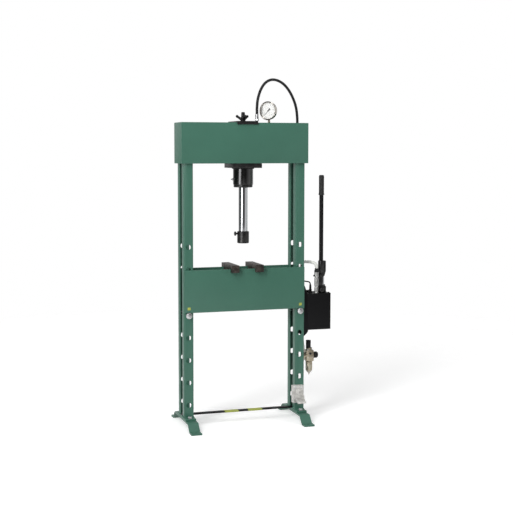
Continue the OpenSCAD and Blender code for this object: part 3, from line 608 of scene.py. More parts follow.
def mark_growth(material):
    """Printed marks round a dial in the X-Y plane, swept clockwise from the zero."""
    g = Growth("Dial marks", Radius=0.04, Count=51, Length=0.004, Width=0.0006, Zero=0.0,
               Sweep=1.0)
    s = g.source
    arc = g.add("GeometryNodeCurveArc",
                {"Resolution": s["Count"], "Radius": s["Radius"], "Start Angle": s["Zero"],
                 "Sweep Angle": g.math("MULTIPLY", s["Sweep"], -1.0)})
    points = g.tree.nodes.new("GeometryNodeCurveToPoints")
    points.mode = "EVALUATED"
    g.tree.links.new(arc, points.inputs["Curve"])
    mark = g.add("GeometryNodeMeshCube", {"Size": g.vector(s["Width"], s["Length"], 0.0003)})
    turn = g.add("FunctionNodeAlignRotationToVector",
                 {"Vector": points.outputs["Tangent"]}, axis="X")
    marks = g.add("GeometryNodeInstanceOnPoints",
                  {"Points": points.outputs["Points"], "Instance": mark, "Rotation": turn})
    g.end(marks, material)
    return g


def coil_growth(material):
    """Round wire wound into a coil about the Z axis."""
    g = Growth("Coil spring", Radius=0.03, Wire=0.0028, Turns=5.0, Height=0.03)
    s = g.source
    spiral = g.add("GeometryNodeCurveSpiral",
                   {"Resolution": 40, "Rotations": s["Turns"], "Start Radius": s["Radius"],
                    "End Radius": s["Radius"], "Height": s["Height"]})
    wire = g.add("GeometryNodeCurvePrimitiveCircle", {"Resolution": 14, "Radius": s["Wire"]})
    coil = g.add("GeometryNodeCurveToMesh",
                 {"Curve": spiral, "Profile Curve": wire, "Fill Caps": True})
    g.end(coil, material)
    return g


# ---------- finishes ----------

class Finish:
    """A material under construction: its shader and the patterns that vary it."""

    def __init__(self, name, colour, rough, metal=0.0, **sockets):
        self.material = bpy.data.materials.new(name + "_finish")
        self.material.use_nodes = True
        self.nodes = self.material.node_tree.nodes
        self.links = self.material.node_tree.links
        self.shader = self.nodes["Principled BSDF"]
        self.place = self.nodes.new("ShaderNodeTexCoord").outputs["Object"]
        self.shader.inputs["Base Color"].default_value = (*colour, 1)
        self.shader.inputs["Roughness"].default_value = rough
        self.shader.inputs["Metallic"].default_value = metal
        for label, value in sockets.items():
            self.shader.inputs[label.replace("_", " ")].default_value = value
        self.material.diffuse_color = (*colour, 1)

    def noise(self, scale, detail=3.0, stretch=(1, 1, 1), contrast=None):
        """Noise on the piece's own coordinates, from 0 to 1."""
        mapping = self.nodes.new("ShaderNodeMapping")
        mapping.inputs["Scale"].default_value = stretch
        self.links.new(self.place, mapping.inputs["Vector"])
        noise = self.nodes.new("ShaderNodeTexNoise")
        noise.inputs["Scale"].default_value = scale
        noise.inputs["Detail"].default_value = detail
        self.links.new(mapping.outputs["Vector"], noise.inputs["Vector"])
        return self.ranged(noise.outputs["Fac"], *(contrast or (0.25, 0.75)), 0, 1)

    def ranged(self, value, from_low, from_high, to_low, to_high):
        """Rescales a pattern and clamps it."""
        node = self.nodes.new("ShaderNodeMapRange")
        for label, number in (("From Min", from_low), ("From Max", from_high),
                              ("To Min", to_low), ("To Max", to_high)):
            node.inputs[label].default_value = number
        self.links.new(value, node.inputs["Value"])
        return node.outputs["Result"]

    def tint(self, pattern, first, second):
        """Base colour runs from the first colour to the second with the pattern."""
        mix = self.nodes.new("ShaderNodeMix")
        mix.data_type = "RGBA"
        self.links.new(pattern, mix.inputs["Factor"])
        for socket, colour in zip((mix.inputs[6], mix.inputs[7]), (first, second)):
            if isinstance(colour, bpy.types.NodeSocket):
                self.links.new(colour, socket)
            else:
                socket.default_value = (*colour, 1)
        self.links.new(mix.outputs[2], self.shader.inputs["Base Color"])
        return mix.outputs[2]

    def vary(self, socket, pattern, start, end):
        """A shader value runs from start to end with the pattern."""
        self.links.new(self.ranged(pattern, 0, 1, start, end), self.shader.inputs[socket])

    def bump(self, pattern, height, strength=1.0):
        """Relief of the given height in metres; further calls add to it."""
        bump = self.nodes.new("ShaderNodeBump")
        bump.inputs["Distance"].default_value = height
        bump.inputs["Strength"].default_value = strength
        self.links.new(pattern, bump.inputs["Height"])
        before = self.shader.inputs["Normal"].links
        if before:
            self.links.new(before[0].from_socket, bump.inputs["Normal"])
        self.links.new(bump.outputs["Normal"], self.shader.inputs["Normal"])

    def attribute(self, name):
        node = self.nodes.new("ShaderNodeAttribute")
        node.attribute_name = name
        return node.outputs["Fac"]

    def wave(self, value, per_metre, sharpness=0.5):
        """Sine of a distance along a piece, from 0 to 1."""
        node = self.nodes.new("ShaderNodeMath")
        node.operation = "MULTIPLY"
        node.inputs[1].default_value = math.tau * per_metre
        self.links.new(value, node.inputs[0])
        sine = self.nodes.new("ShaderNodeMath")
        sine.operation = "SINE"
        self.links.new(node.outputs[0], sine.inputs[0])
        return self.ranged(sine.outputs[0], -sharpness, sharpness, 0, 1)


def shade(colour, factor):
    return tuple(min(1.0, c * factor) for c in colour)


def enamel(name, colour, rough, gloss=0.5, coat=0.08):
    """Sprayed enamel: orange peel, faint clouds and a little dust in the sheen."""
    f = Finish(name, colour, rough, Specular_IOR_Level=gloss, Coat_Weight=coat,
               Coat_Roughness=0.2)
    clouds = f.noise(5, 4)
    f.tint(clouds, shade(colour, 0.93), shade(colour, 1.07))
    f.vary("Roughness", f.noise(38, 5), rough - 0.05, rough + 0.09)
    f.bump(f.noise(520, 2), 0.00005, 0.35)
    f.bump(f.noise(60, 1), 0.0001, 0.25)
    return f.material


def green_paint():
    return enamel("green_paint", tuple(bpy.context.scene.press_colours.green), 0.42)


def black_paint():
    return enamel("black_paint", tuple(bpy.context.scene.press_colours.black), 0.4, 0.14, 0)


def barrel_enamel():
    """Thin glossy black over turned steel, with faint rings from the lathe."""
    f = Finish("barrel_enamel", (0.045, 0.045, 0.046), 0.2, 1.0, Coat_Weight=0.5,
               Coat_Roughness=0.16)
    rings = f.noise(1, 2, stretch=(10, 10, 900))
    f.tint(f.noise(26, 5), (0.043, 0.043, 0.044), (0.06, 0.06, 0.061))
    f.vary("Roughness", rings, 0.13, 0.2)
    f.bump(rings, 0.00002, 0.3)
    return f.material


def black_oxide():
    """Blackened machined steel: mottled, oily, with rubbed brighter specks."""
    f = Finish("black_oxide", (0.03, 0.03, 0.031), 0.36, 0.85)
    f.tint(f.noise(42, 6, contrast=(0.35, 0.8)), (0.03, 0.03, 0.031), (0.08, 0.079, 0.077))
    f.vary("Roughness", f.noise(85, 4), 0.27, 0.45)
    f.bump(f.noise(700, 2), 0.00004, 0.4)
    return f.material


def block_steel():
    """Flame-cut and ground steel bar with brown mill scale and oil marks."""
    f = Finish("block_steel", (0.05, 0.043, 0.038), 0.42, 0.5)
    scale = f.noise(34, 7, contrast=(0.4, 0.62))
    f.tint(scale, (0.022, 0.018, 0.015), (0.085, 0.070, 0.060))
    f.vary("Roughness", f.noise(70, 5), 0.3, 0.58)
    f.bump(f.noise(240, 5), 0.0001, 0.4)
    return f.material


def zinc_steel():
    f = Finish("zinc_steel", (0.62, 0.63, 0.65), 0.28, 1.0)
    f.tint(f.noise(70, 4), (0.52, 0.53, 0.54), (0.70, 0.70, 0.71))
    f.vary("Roughness", f.noise(180, 3), 0.2, 0.38)
    return f.material


def hard_chrome():
    """Ground and plated rod: very fine marks run round it."""
    f = Finish("hard_chrome", (0.72, 0.73, 0.75), 0.09, 1.0)
    rings = f.noise(1, 2, stretch=(20, 20, 2600))
    f.vary("Roughness", rings, 0.06, 0.14)
    f.bump(rings, 0.000004, 0.3)
    return f.material


def cast_alloy():
    f = Finish("cast_alloy", (0.6, 0.59, 0.57), 0.5, 0.3)
    f.tint(f.noise(60, 6, contrast=(0.35, 0.65)), (0.46, 0.45, 0.43), (0.76, 0.75, 0.72))
    f.vary("Roughness", f.noise(130, 3), 0.42, 0.62)
    f.bump(f.noise(900, 3), 0.00012, 0.6)
    return f.material


def motor_alloy():
    """Machined and tumbled alloy, greyer than the castings."""
    f = Finish("motor_alloy", (0.34, 0.34, 0.33), 0.36, 0.85)
    f.tint(f.noise(90, 6, contrast=(0.35, 0.65)), (0.24, 0.24, 0.235), (0.46, 0.46, 0.45))
    f.vary("Roughness", f.noise(130, 3), 0.3, 0.48)
    return f.material


def black_plastic():
    f = Finish("black_plastic", (0.007, 0.007, 0.0075), 0.42, Specular_IOR_Level=0.28)
    f.vary("Roughness", f.noise(95, 4), 0.34, 0.52)
    f.bump(f.noise(1300, 1), 0.00003, 0.4)
    return f.material


def seal_rubber():
    f = Finish("seal_rubber", (0.02, 0.02, 0.02), 0.6)
    f.vary("Roughness", f.noise(200, 3), 0.5, 0.7)
    return f.material


def hose_rubber():
    """Rubber cover with the spiral print of the cloth it was cured in."""
    f = Finish("hose_rubber", (0.007, 0.007, 0.0075), 0.5, Specular_IOR_Level=0.3)
    along = f.attribute("along")
    print_of_cloth = f.wave(along, 420, 1.0)
    f.bump(print_of_cloth, 0.00012, 0.5)
    dust = f.noise(30, 5)
    f.tint(dust, (0.005, 0.005, 0.0055), (0.013, 0.013, 0.0135))
    f.vary("Roughness", dust, 0.42, 0.6)
    return f.material


def brass():
    f = Finish("brass", (0.38, 0.31, 0.20), 0.32, 0.95)
    f.tint(f.noise(48, 5), (0.24, 0.205, 0.145), (0.50, 0.44, 0.34))
    f.vary("Roughness", f.noise(110, 4), 0.26, 0.46)
    f.bump(f.noise(600, 2), 0.00005, 0.4)
    return f.material


def stainless():
    """Spun and polished case, faintly smeared."""
    f = Finish("stainless", (0.56, 0.53, 0.49), 0.2, 1.0)
    f.tint(f.noise(35, 3), (0.50, 0.47, 0.43), (0.62, 0.59, 0.55))
    f.vary("Roughness", f.noise(240, 2), 0.14, 0.27)
    return f.material


def dial_white():
    f = Finish("dial_white", (0.85, 0.85, 0.82), 0.4)
    f.tint(f.noise(50, 3), (0.82, 0.82, 0.79), (0.88, 0.88, 0.86))
    return f.material


def needle_black():
    f = Finish("needle_black", (0.01, 0.01, 0.01), 0.45)
    f.vary("Roughness", f.noise(300, 2), 0.38, 0.52)
    return f.material


def clear_glass():
    f = Finish("clear_glass", (0.93, 0.95, 0.96), 0.04, Alpha=0.05)
    f.vary("Roughness", f.noise(60, 2), 0.02, 0.06)
    return f.material


def grip_rubber():
    f = Finish("grip_rubber", (0.008, 0.008, 0.008), 0.55)
    f.vary("Roughness", f.noise(120, 3), 0.46, 0.66)
    f.bump(f.noise(800, 2), 0.00006, 0.5)
    return f.material


def clear_tube():
    """Milky tube with fine rings in its wall."""
    f = Finish("clear_tube", (0.72, 0.73, 0.69), 0.28, Alpha=0.62, Transmission_Weight=0.3)
    rings = f.wave(f.attribute("along"), 210, 0.9)
    f.tint(rings, (0.60, 0.61, 0.57), (0.80, 0.81, 0.77))
    f.bump(f.noise(150, 2), 0.00006, 0.3)
    return f.material


def bowl_plastic():
    f = Finish("bowl_plastic", (0.62, 0.58, 0.46), 0.18, Alpha=0.62, Transmission_Weight=0.35)
    f.tint(f.noise(40, 3), (0.56, 0.52, 0.40), (0.68, 0.64, 0.52))
    return f.material


def marking_tape():
    colour = tuple(bpy.context.scene.press_colours.tape)
    f = Finish("marking_tape", colour, 0.5)
    f.tint(f.noise(60, 4), shade(colour, 0.8), shade(colour, 1.12))
    return f.material


FINISHES = {maker.__name__: maker for maker in (
    green_paint, black_paint, barrel_enamel, black_oxide, block_steel, zinc_steel, hard_chrome,
    cast_alloy, motor_alloy, black_plastic, seal_rubber, hose_rubber, brass, stainless, dial_white,
    needle_black, clear_glass, grip_rubber, clear_tube, bowl_plastic, marking_tape)}


def finish_for(name):
    """The material of that name, made once."""
    return bpy.data.materials.get(name + "_finish") or FINISHES[name]()


def repaint(node, slot):
    """Gives a frame part that stays as it is its finish."""
    materials = NODES[node].data.materials
    materials.clear()
    materials.append(finish_for(slot))


# ---------- pieces ----------

class PieceOperator(bpy.types.Operator):
    """Shared settings of the operators that build pieces."""

    bl_options = {"REGISTER", "UNDO"}

    def execute(self, context):
        self.build(context.scene.press_sizes)
        return {"FINISHED"}


def welds(name, paths, body, sizes, seed, slot="green_paint"):
    """Weld beads along several paths, as one piece."""
    growth = weld_growth(finish_for(slot))
    beads = [growth.grow(f"{name}_{i}", path_mesh("seam", *path), Leg=sizes.weld_size,
                         Pitch=sizes.weld_pitch, Seed=seed + i)
             for i, path in enumerate(paths)]
    mesh = joined(name, *beads)
    mesh.shade_smooth()
    add_piece(name, mesh, body, slot)


# ends of the two bands of tape along the tie bar
TAPE_BANDS = (("left_tape", -0.103, -0.022), ("right_tape", 0.034, 0.118))
# how far a weld runs along the flange of a column bar
FLANGE_WELD = 0.034


def ribs_round(centre, tipped_about, slot, **sizes):
    """Ribs of a knob whose own axis is Z tipped a quarter turn about X or Y."""
    ribs = rib_growth(finish_for(slot)).grow("ribs", seed_point(), **sizes)
    ribs.transform(Matrix.Translation(centre) @ Matrix.Rotation(math.pi / 2, 4, tipped_about))
    return ribs


class PRESS_OT_columns(PieceOperator):
    """Columns of paired channel bars, their base plates, the tie bar and its tape"""

    bl_idname = "press.columns"
    bl_label = "Columns"

    def build(self, sizes):
        outer_y = high("left_column").y

        def widths(along, centre, angle):
            if along.length < 0.2:
                return 0.0008
            at_web = abs(abs(centre.y) - outer_y) < MM
            return sizes.channel_edge if at_web else 0.0014

        for node in ("left_column", "right_column"):
            soften_node(node, widths, "green_paint", 4)
        soften_node("base_plates", long_and_short(sizes.plate_edge, 0.0006), "green_paint")
        soften_node("tie_bar", sizes.plate_edge, "black_paint")
        self.add_seams(sizes)
        self.add_tape()

    def add_seams(self, sizes):
        """Welds round the foot of each column bar."""
        z = high("base_plates").z
        for side, node in (("left", "left_column"), ("right", "right_column")):
            a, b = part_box(node)
            paths = []
            for y in (a.y, b.y):
                inner = math.copysign(abs(y) - FLANGE_WELD, y)
                corners = [(a.x, inner, z), (a.x, y, z), (b.x, y, z), (b.x, inner, z)]
                paths.append((corners,))
            welds(f"{side}_column_welds", paths, "frame", sizes, 11 if side == "left" else 31)

    def add_tape(self):
        """Plain tape wrapped round the tie bar in two places."""
        a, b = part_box("tie_bar")
        proud = Vector((0, 0.0004, 0.0004))
        for name, x0, x1 in TAPE_BANDS:
            mesh = block(name, Vector((x0, a.y, a.z)) - proud, Vector((x1, b.y, b.z)) + proud,
                         0.0015)
            add_piece(f"tie_bar_{name}", mesh, "frame", None, finish_for("marking_tape"))


class PRESS_OT_feet(PieceOperator):
    """Feet of bent flat bar with their bolts and nuts"""

    bl_idname = "press.feet"
    bl_label = "Feet"

    def build(self, sizes):
        def widths(along, centre, angle):
            bend = angle < math.radians(60) and abs(along.x) > 0.02
            return sizes.bend_run if bend else 0.0012

        for node in ("left_foot", "right_foot"):
            soften_node(node, widths, "green_paint", 5)
        steel = finish_for("zinc_steel")
        bolts = bolt_growth(steel)
        columns = [middle(node).x for node in ("left_foot", "right_foot")]
        end = high("foot_bolts").y - 0.012
        seats = [(x, y, high("base_plates").z) for x in columns for y in (-end, end)]
        mesh = bolts.grow("foot_bolts_finished", point_mesh("seats", seats), Reach=0.034)
        crisp(mesh)
        add_piece("foot_bolts_finished", mesh, "frame", "zinc_steel", stands_for=["foot_bolts"])
        under = high("foot_nuts").z
        seats = [(x, y, under) for x in columns for y in (-end, end)]
        mesh = bolts.grow("foot_nuts_finished", point_mesh("nut_seats", seats), Head=0.0085,
                          Washer=0.011, Thickness=0.0015, Shank=0.003, Reach=0.001,
                          Direction=(0.0, 0.0, -1.0))
        crisp(mesh)
        add_piece("foot_nuts_finished", mesh, "frame", "zinc_steel", stands_for=["foot_nuts"])


class PRESS_OT_head(PieceOperator):
    """Head beam: front and rear plates, closed ends and packers"""

    bl_idname = "press.head"
    bl_label = "Head beam"

    def build(self, sizes):
        for node in ("head_front_plate", "head_rear_plate"):
            soften_node(node, sizes.plate_edge, "green_paint")
        soften_node("head_end_plates", sizes.plate_edge * 0.6, "green_paint")
        soften_node("head_packers", 0.0008, "green_paint")
        self.add_seams(sizes)

    def add_seams(self, sizes):
        """Fillet welds in the inner corners of the head's closed ends."""
        a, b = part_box("head_end_plates")
        inner = abs(a.x) - 0.0075
        leg = sizes.weld_size * 0.6
        paths = [([(x, y, a.z + 0.015), (x, y, b.z - 0.012)],)
                 for x in (-inner, inner) for y in (a.y + leg, b.y - leg)]
        welds("head_welds", paths, "frame", sizes, 53)


class PRESS_OT_bed(PieceOperator):
    """Bed: two plates, their spacers, welds and plain patches"""

    bl_idname = "press.bed"
    bl_label = "Bed"

    def build(self, sizes):
        for node in ("bed_front_plate", "bed_rear_plate"):
            soften_node(node, sizes.plate_edge, "green_paint")
        soften_node("bed_spacers", long_and_short(0.0009, 0.0005), "green_paint")
        a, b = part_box("bed_spacers")
        z0, z1 = a.z + 0.01, b.z - 0.01
        inner = abs(a.x) - 0.012
        paths = [([(x, y, z0), (x, y, z1)],)
                 for x in (-inner, inner) for y in (a.y + 0.002, b.y - 0.002)]
        welds("bed_welds", paths, "bed", sizes, 71)
        self.add_patches()

    def add_patches(self):
        """A small plain patch above each pin, on the front plate."""
        front = low("bed_front_plate").y
        for side, node in (("left", "left_bed_pin"), ("right", "right_bed_pin")):
            x, z = middle(node).x, high(node).z + 0.021
            mesh = block("patch", (x - 0.0085, front - 0.0004, z - 0.0075),
                         (x + 0.0085, front + 0.0002, z + 0.0075), 0.00025)
            add_piece(f"{side}_bed_patch", mesh, "bed", None, finish_for("marking_tape"))


class PRESS_OT_pins_and_blocks(PieceOperator):
    """Bed pins and the two press blocks"""

    bl_idname = "press.pins_and_blocks"
    bl_label = "Pins and press blocks"

    def build(self, sizes):
        for node in ("left_bed_pin", "right_bed_pin"):
            soften_node(node, 0.0004, "zinc_steel", 2)
        for node in ("left_press_block", "right_press_block"):
            soften_node(node, long_and_short(0.0013, 0.0008), "black_oxide",
                        finish=finish_for("block_steel"))


class PRESS_OT_carriage(PieceOperator):
    """Carriage: top plate, flange, stud, cylinder barrel, gland and bleed screw"""

    bl_idname = "press.carriage"
    bl_label = "Ram carriage"

    def build(self, sizes):
        edge = sizes.machined_edge
        soften_node("carriage_plate", long_and_short(0.0014, 0.0005), "black_oxide")
        soften_node("carriage_flange", long_and_short(0.0016, 0.0005), "black_oxide")
        soften_node("clamp_stud", 0.0005, "zinc_steel", 2)
        soften_node("cylinder_barrel", edge, "black_paint", finish=finish_for("barrel_enamel"))
        soften_node("gland_nut", edge * 0.6, "black_oxide", 2)
        soften_node("bleed_screw", 0.0005, "zinc_steel", 2)
        self.add_seam(sizes)

    def add_seam(self, sizes):
        """Weld between the barrel and the flange, seen from below."""
        centre = middle("cylinder_barrel")
        radius = (high("gland_nut").x - low("gland_nut").x) / 2 + 0.005
        z = low("carriage_flange").z - sizes.weld_size * 0.2
        ring = [(centre.x + radius * math.cos(math.tau * i / 96),
                 centre.y + radius * math.sin(math.tau * i / 96), z) for i in range(96)]
        welds("flange_weld", [(ring, True)], "carriage", sizes, 91, "black_paint")


# top of the moulded boss that covers the stud's end
STUD_COVER = 1.7415
# radius of the ball at the end of each arm
ARM_BALL = 0.0080


class PRESS_OT_star_knob(PieceOperator):
    """Moulded knob with three rising arms"""

    bl_idname = "press.star_knob"
    bl_label = "Star knob"

    def build(self, sizes):
        foot = low("star_knob").z
        base = Vector((middle("clamp_stud").x, 0, foot))
        cover = STUD_COVER - foot
        shapes = [
            turned("hub", rounded([
                (0.0095, 0), (0.0135, 0), (0.0138, 0.012), (0.0125, 0.0215), (0.0095, 0.0215),
                (0.0095, 0)], 0.002), base),
            turned("boss", rounded([
                (0, 0.004), (0.0118, 0.004), (0.0106, cover - 0.012), (0.0098, cover),
                (0, cover)], 0.009, 8), base),
        ]
        ball = [(ARM_BALL * math.sin(math.pi * i / 16), -ARM_BALL * math.cos(math.pi * i / 16))
                for i in range(17)]
        for degrees in (30, 150, 270):
            angle = math.radians(degrees)
            out = Vector((math.cos(angle), math.sin(angle), 0))
            start = base + out * 0.010 + Vector((0, 0, 0.011))
            tip = base + out * 0.034 + Vector((0, 0, 0.0275))
            arm = tip - start
            shapes.append(turned("arm", [
                (0, 0), (0.0082, 0), (0.0070, arm.length * 0.55), (0.0066, arm.length),
                (0, arm.length)], start, arm, 32))
            shapes.append(turned("ball", ball, tip, arm, 32))
        mould = new_object("star_knob_mould", joined("mould", *shapes))
        remesh = mould.modifiers.new("blend", "REMESH")
        remesh.mode = "VOXEL"
        remesh.voxel_size = 0.0008
        smooth = mould.modifiers.new("soften", "SMOOTH")
        smooth.factor = 0.5
        smooth.iterations = 10
        mesh = settled(mould)
        mesh.shade_smooth()
        add_piece("star_knob_finished", mesh, "clamp_knob", "black_plastic",
                  stands_for=["star_knob"])


class PRESS_OT_ram(PieceOperator):
    """Ram: chromed rod, nose, thumb screw, and the piston, seal and spring inside"""

    bl_idname = "press.ram"
    bl_label = "Ram"

    def build(self, sizes):
        edge = sizes.machined_edge
        soften_node("ram_rod", edge, "hard_chrome")
        soften_node("ram_nose", edge * 0.7, "black_oxide")
        repaint("piston", "zinc_steel")
        repaint("piston_seal", "seal_rubber")
        self.add_thumb_screw()
        self.add_spring()

    def add_thumb_screw(self):
        """Knurled head on a short shank."""
        a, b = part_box("nose_screw")
        centre = Vector((a.x, (a.y + b.y) / 2, (a.z + b.z) / 2))
        radius = (b.z - a.z) / 2
        head = 0.010
        length = b.x - a.x
        body = turned("screw", rounded([
            (0, 0), (radius - 0.004, 0), (radius - 0.0012, 0.0012), (radius - 0.0012, head - 0.0015),
            (radius - 0.004, head), (0.005, head), (0.005, length - 0.001), (0.004, length),
            (0, length)], 0.0006), centre, (1, 0, 0))
        ribs = ribs_round(centre + Vector((head / 2, 0, 0)), "Y", "black_oxide", Count=26,
                          Radius=radius - 0.0013, Length=head - 0.003, Rib=0.0012)
        mesh = joined("nose_screw_finished", body, ribs)
        add_piece("nose_screw_finished", mesh, "thumb_screw", "black_oxide",
                  stands_for=["nose_screw"])

    def add_spring(self):
        """Return spring, wound round the rod inside the barrel."""
        a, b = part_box("return_spring")
        wire = 0.0028
        mesh = coil_growth(finish_for("zinc_steel")).grow(
            "return_spring_finished", seed_point(),
            Radius=(b.x - a.x) / 2 - wire, Wire=wire, Turns=5.0, Height=b.z - a.z - 2 * wire)
        centre = middle("return_spring")
        mesh.transform(Matrix.Translation((centre.x, centre.y, a.z + wire)))
        add_piece("return_spring_finished", mesh, "carriage", "zinc_steel",
                  stands_for=["return_spring"])


class PRESS_OT_oil_line(PieceOperator):
    """Oil manifold, fittings, clips and the hydraulic hose"""

    bl_idname = "press.oil_line"
    bl_label = "Oil line"

    def build(self, sizes):
        soften_node("oil_manifold", sizes.machined_edge, "black_oxide")
        soften_node("hose_clips", 0.0005, "zinc_steel", 2)
        self.add_top_fitting()
        self.add_pump_fitting()
        self.add_hose()

    def add_top_fitting(self):
        """Swivel nut, adaptor and crimped ferrule over the hose's end."""
        a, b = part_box("hose_top_fitting")
        x, y = middle("hose_top_fitting").x, middle("hose_top_fitting").y
        seat = high("oil_manifold").z
        shapes = [
            hexagon("adaptor", 0.0215, (x, y, seat), 0.0135),
            hexagon("swivel", 0.0188, (x, y, b.z - 0.039), 0.0110),
            turned("neck", rounded([(0, a.z), (0.0056, a.z), (0.0056, seat - 0.001),
                                    (0.0073, seat), (0.0073, b.z - 0.03), (0, b.z - 0.03)],
                                   0.0006), (x, y, 0)),
            self.ferrule("ferrule", (x, y, b.z - 0.0285), 0.0285, 0.0094, 4),
        ]
        self.finish("hose_top_fitting", shapes, "zinc_steel")

    def add_pump_fitting(self):
        """Adaptor on the pump's cover, with the riser that the steel pipe enters."""
        a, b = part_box("hose_pump_fitting")
        x, y = middle("hose_pump_fitting").x, middle("hose_pump_fitting").y
        cover = low("pump_block").z
        shapes = [
            hexagon("adaptor", 0.0195, (x, y, cover), 0.0078),
            turned("neck", [(0, a.z), (0.0056, a.z), (0.0056, cover), (0, cover)], (x, y, 0)),
            self.ferrule("ferrule", (x, y, cover + 0.0078), b.z - cover - 0.0078, 0.0085, 2),
            turned("riser", rounded([(0, b.z - 0.004), (0.0064, b.z - 0.004),
                                     (0.0064, b.z + 0.014), (0.0050, b.z + 0.026),
                                     (0, b.z + 0.026)], 0.0012), (x, y, 0), (0, 0, 1), 32),
        ]
        self.finish("hose_pump_fitting", shapes, "black_oxide")

    def ferrule(self, name, base, length, radius, grooves):
        """Crimped sleeve: smooth lands with shallow grooves between them."""
        outline = [(0.0066, 0), (radius - 0.0008, 0), (radius, 0.0008)]
        land = (length - 0.002) / (grooves + 1)
        for i in range(1, grooves + 1):
            z = 0.001 + land * i
            outline += [(radius, z - 0.0009), (radius - 0.0009, z - 0.0003),
                        (radius - 0.0009, z + 0.0003), (radius, z + 0.0009)]
        outline += [(radius, length - 0.0008), (radius - 0.0008, length), (0.0066, length),
                    (0.0066, 0)]
        return turned(name, outline, base)

    def finish(self, node, shapes, slot):
        """Joins the shapes that replace a node and gives them their finish."""
        mesh = joined(node + "_finished", *shapes)
        add_piece(node + "_finished", mesh, body_of_node(node), FRAME_SLOTS[node],
                  finish_for(slot), stands_for=[node])

    def add_hose(self):
        """Rubber hose along its route, fixed in place, and the steel pipe with its nut on the frame.
        """
        route = smooth_route(OIL_ROUTE, 8)
        rubber = finish_for("hose_rubber")
        mesh = tube_growth(rubber).grow("hydraulic_hose_finished", path_mesh("route", route),
                                        Radius=OIL_HOSE_D / 2, Sides=20)
        pipe = tube_growth(finish_for("black_oxide")).grow(
            "oil_pipe", path_mesh("route", smooth_route(OIL_PIPE, 6)), Radius=OIL_PIPE_D / 2,
            Sides=16)
        nut = hexagon("nut", 0.0185, route[-1], 0.016, route[-2] - route[-1])
        pipe = joined("oil_pipe", pipe, nut)
        add_piece("oil_pipe", pipe, "frame", "black_oxide")
        piece = add_piece("hydraulic_hose_finished", mesh, None, "hose_rubber",
                          stands_for=["hydraulic_hose"])
        start = Vector(OIL_ROUTE[2]) * MM
        end = Vector(OIL_ROUTE[HOSE_LOOSE_END]) * MM
        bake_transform(piece)


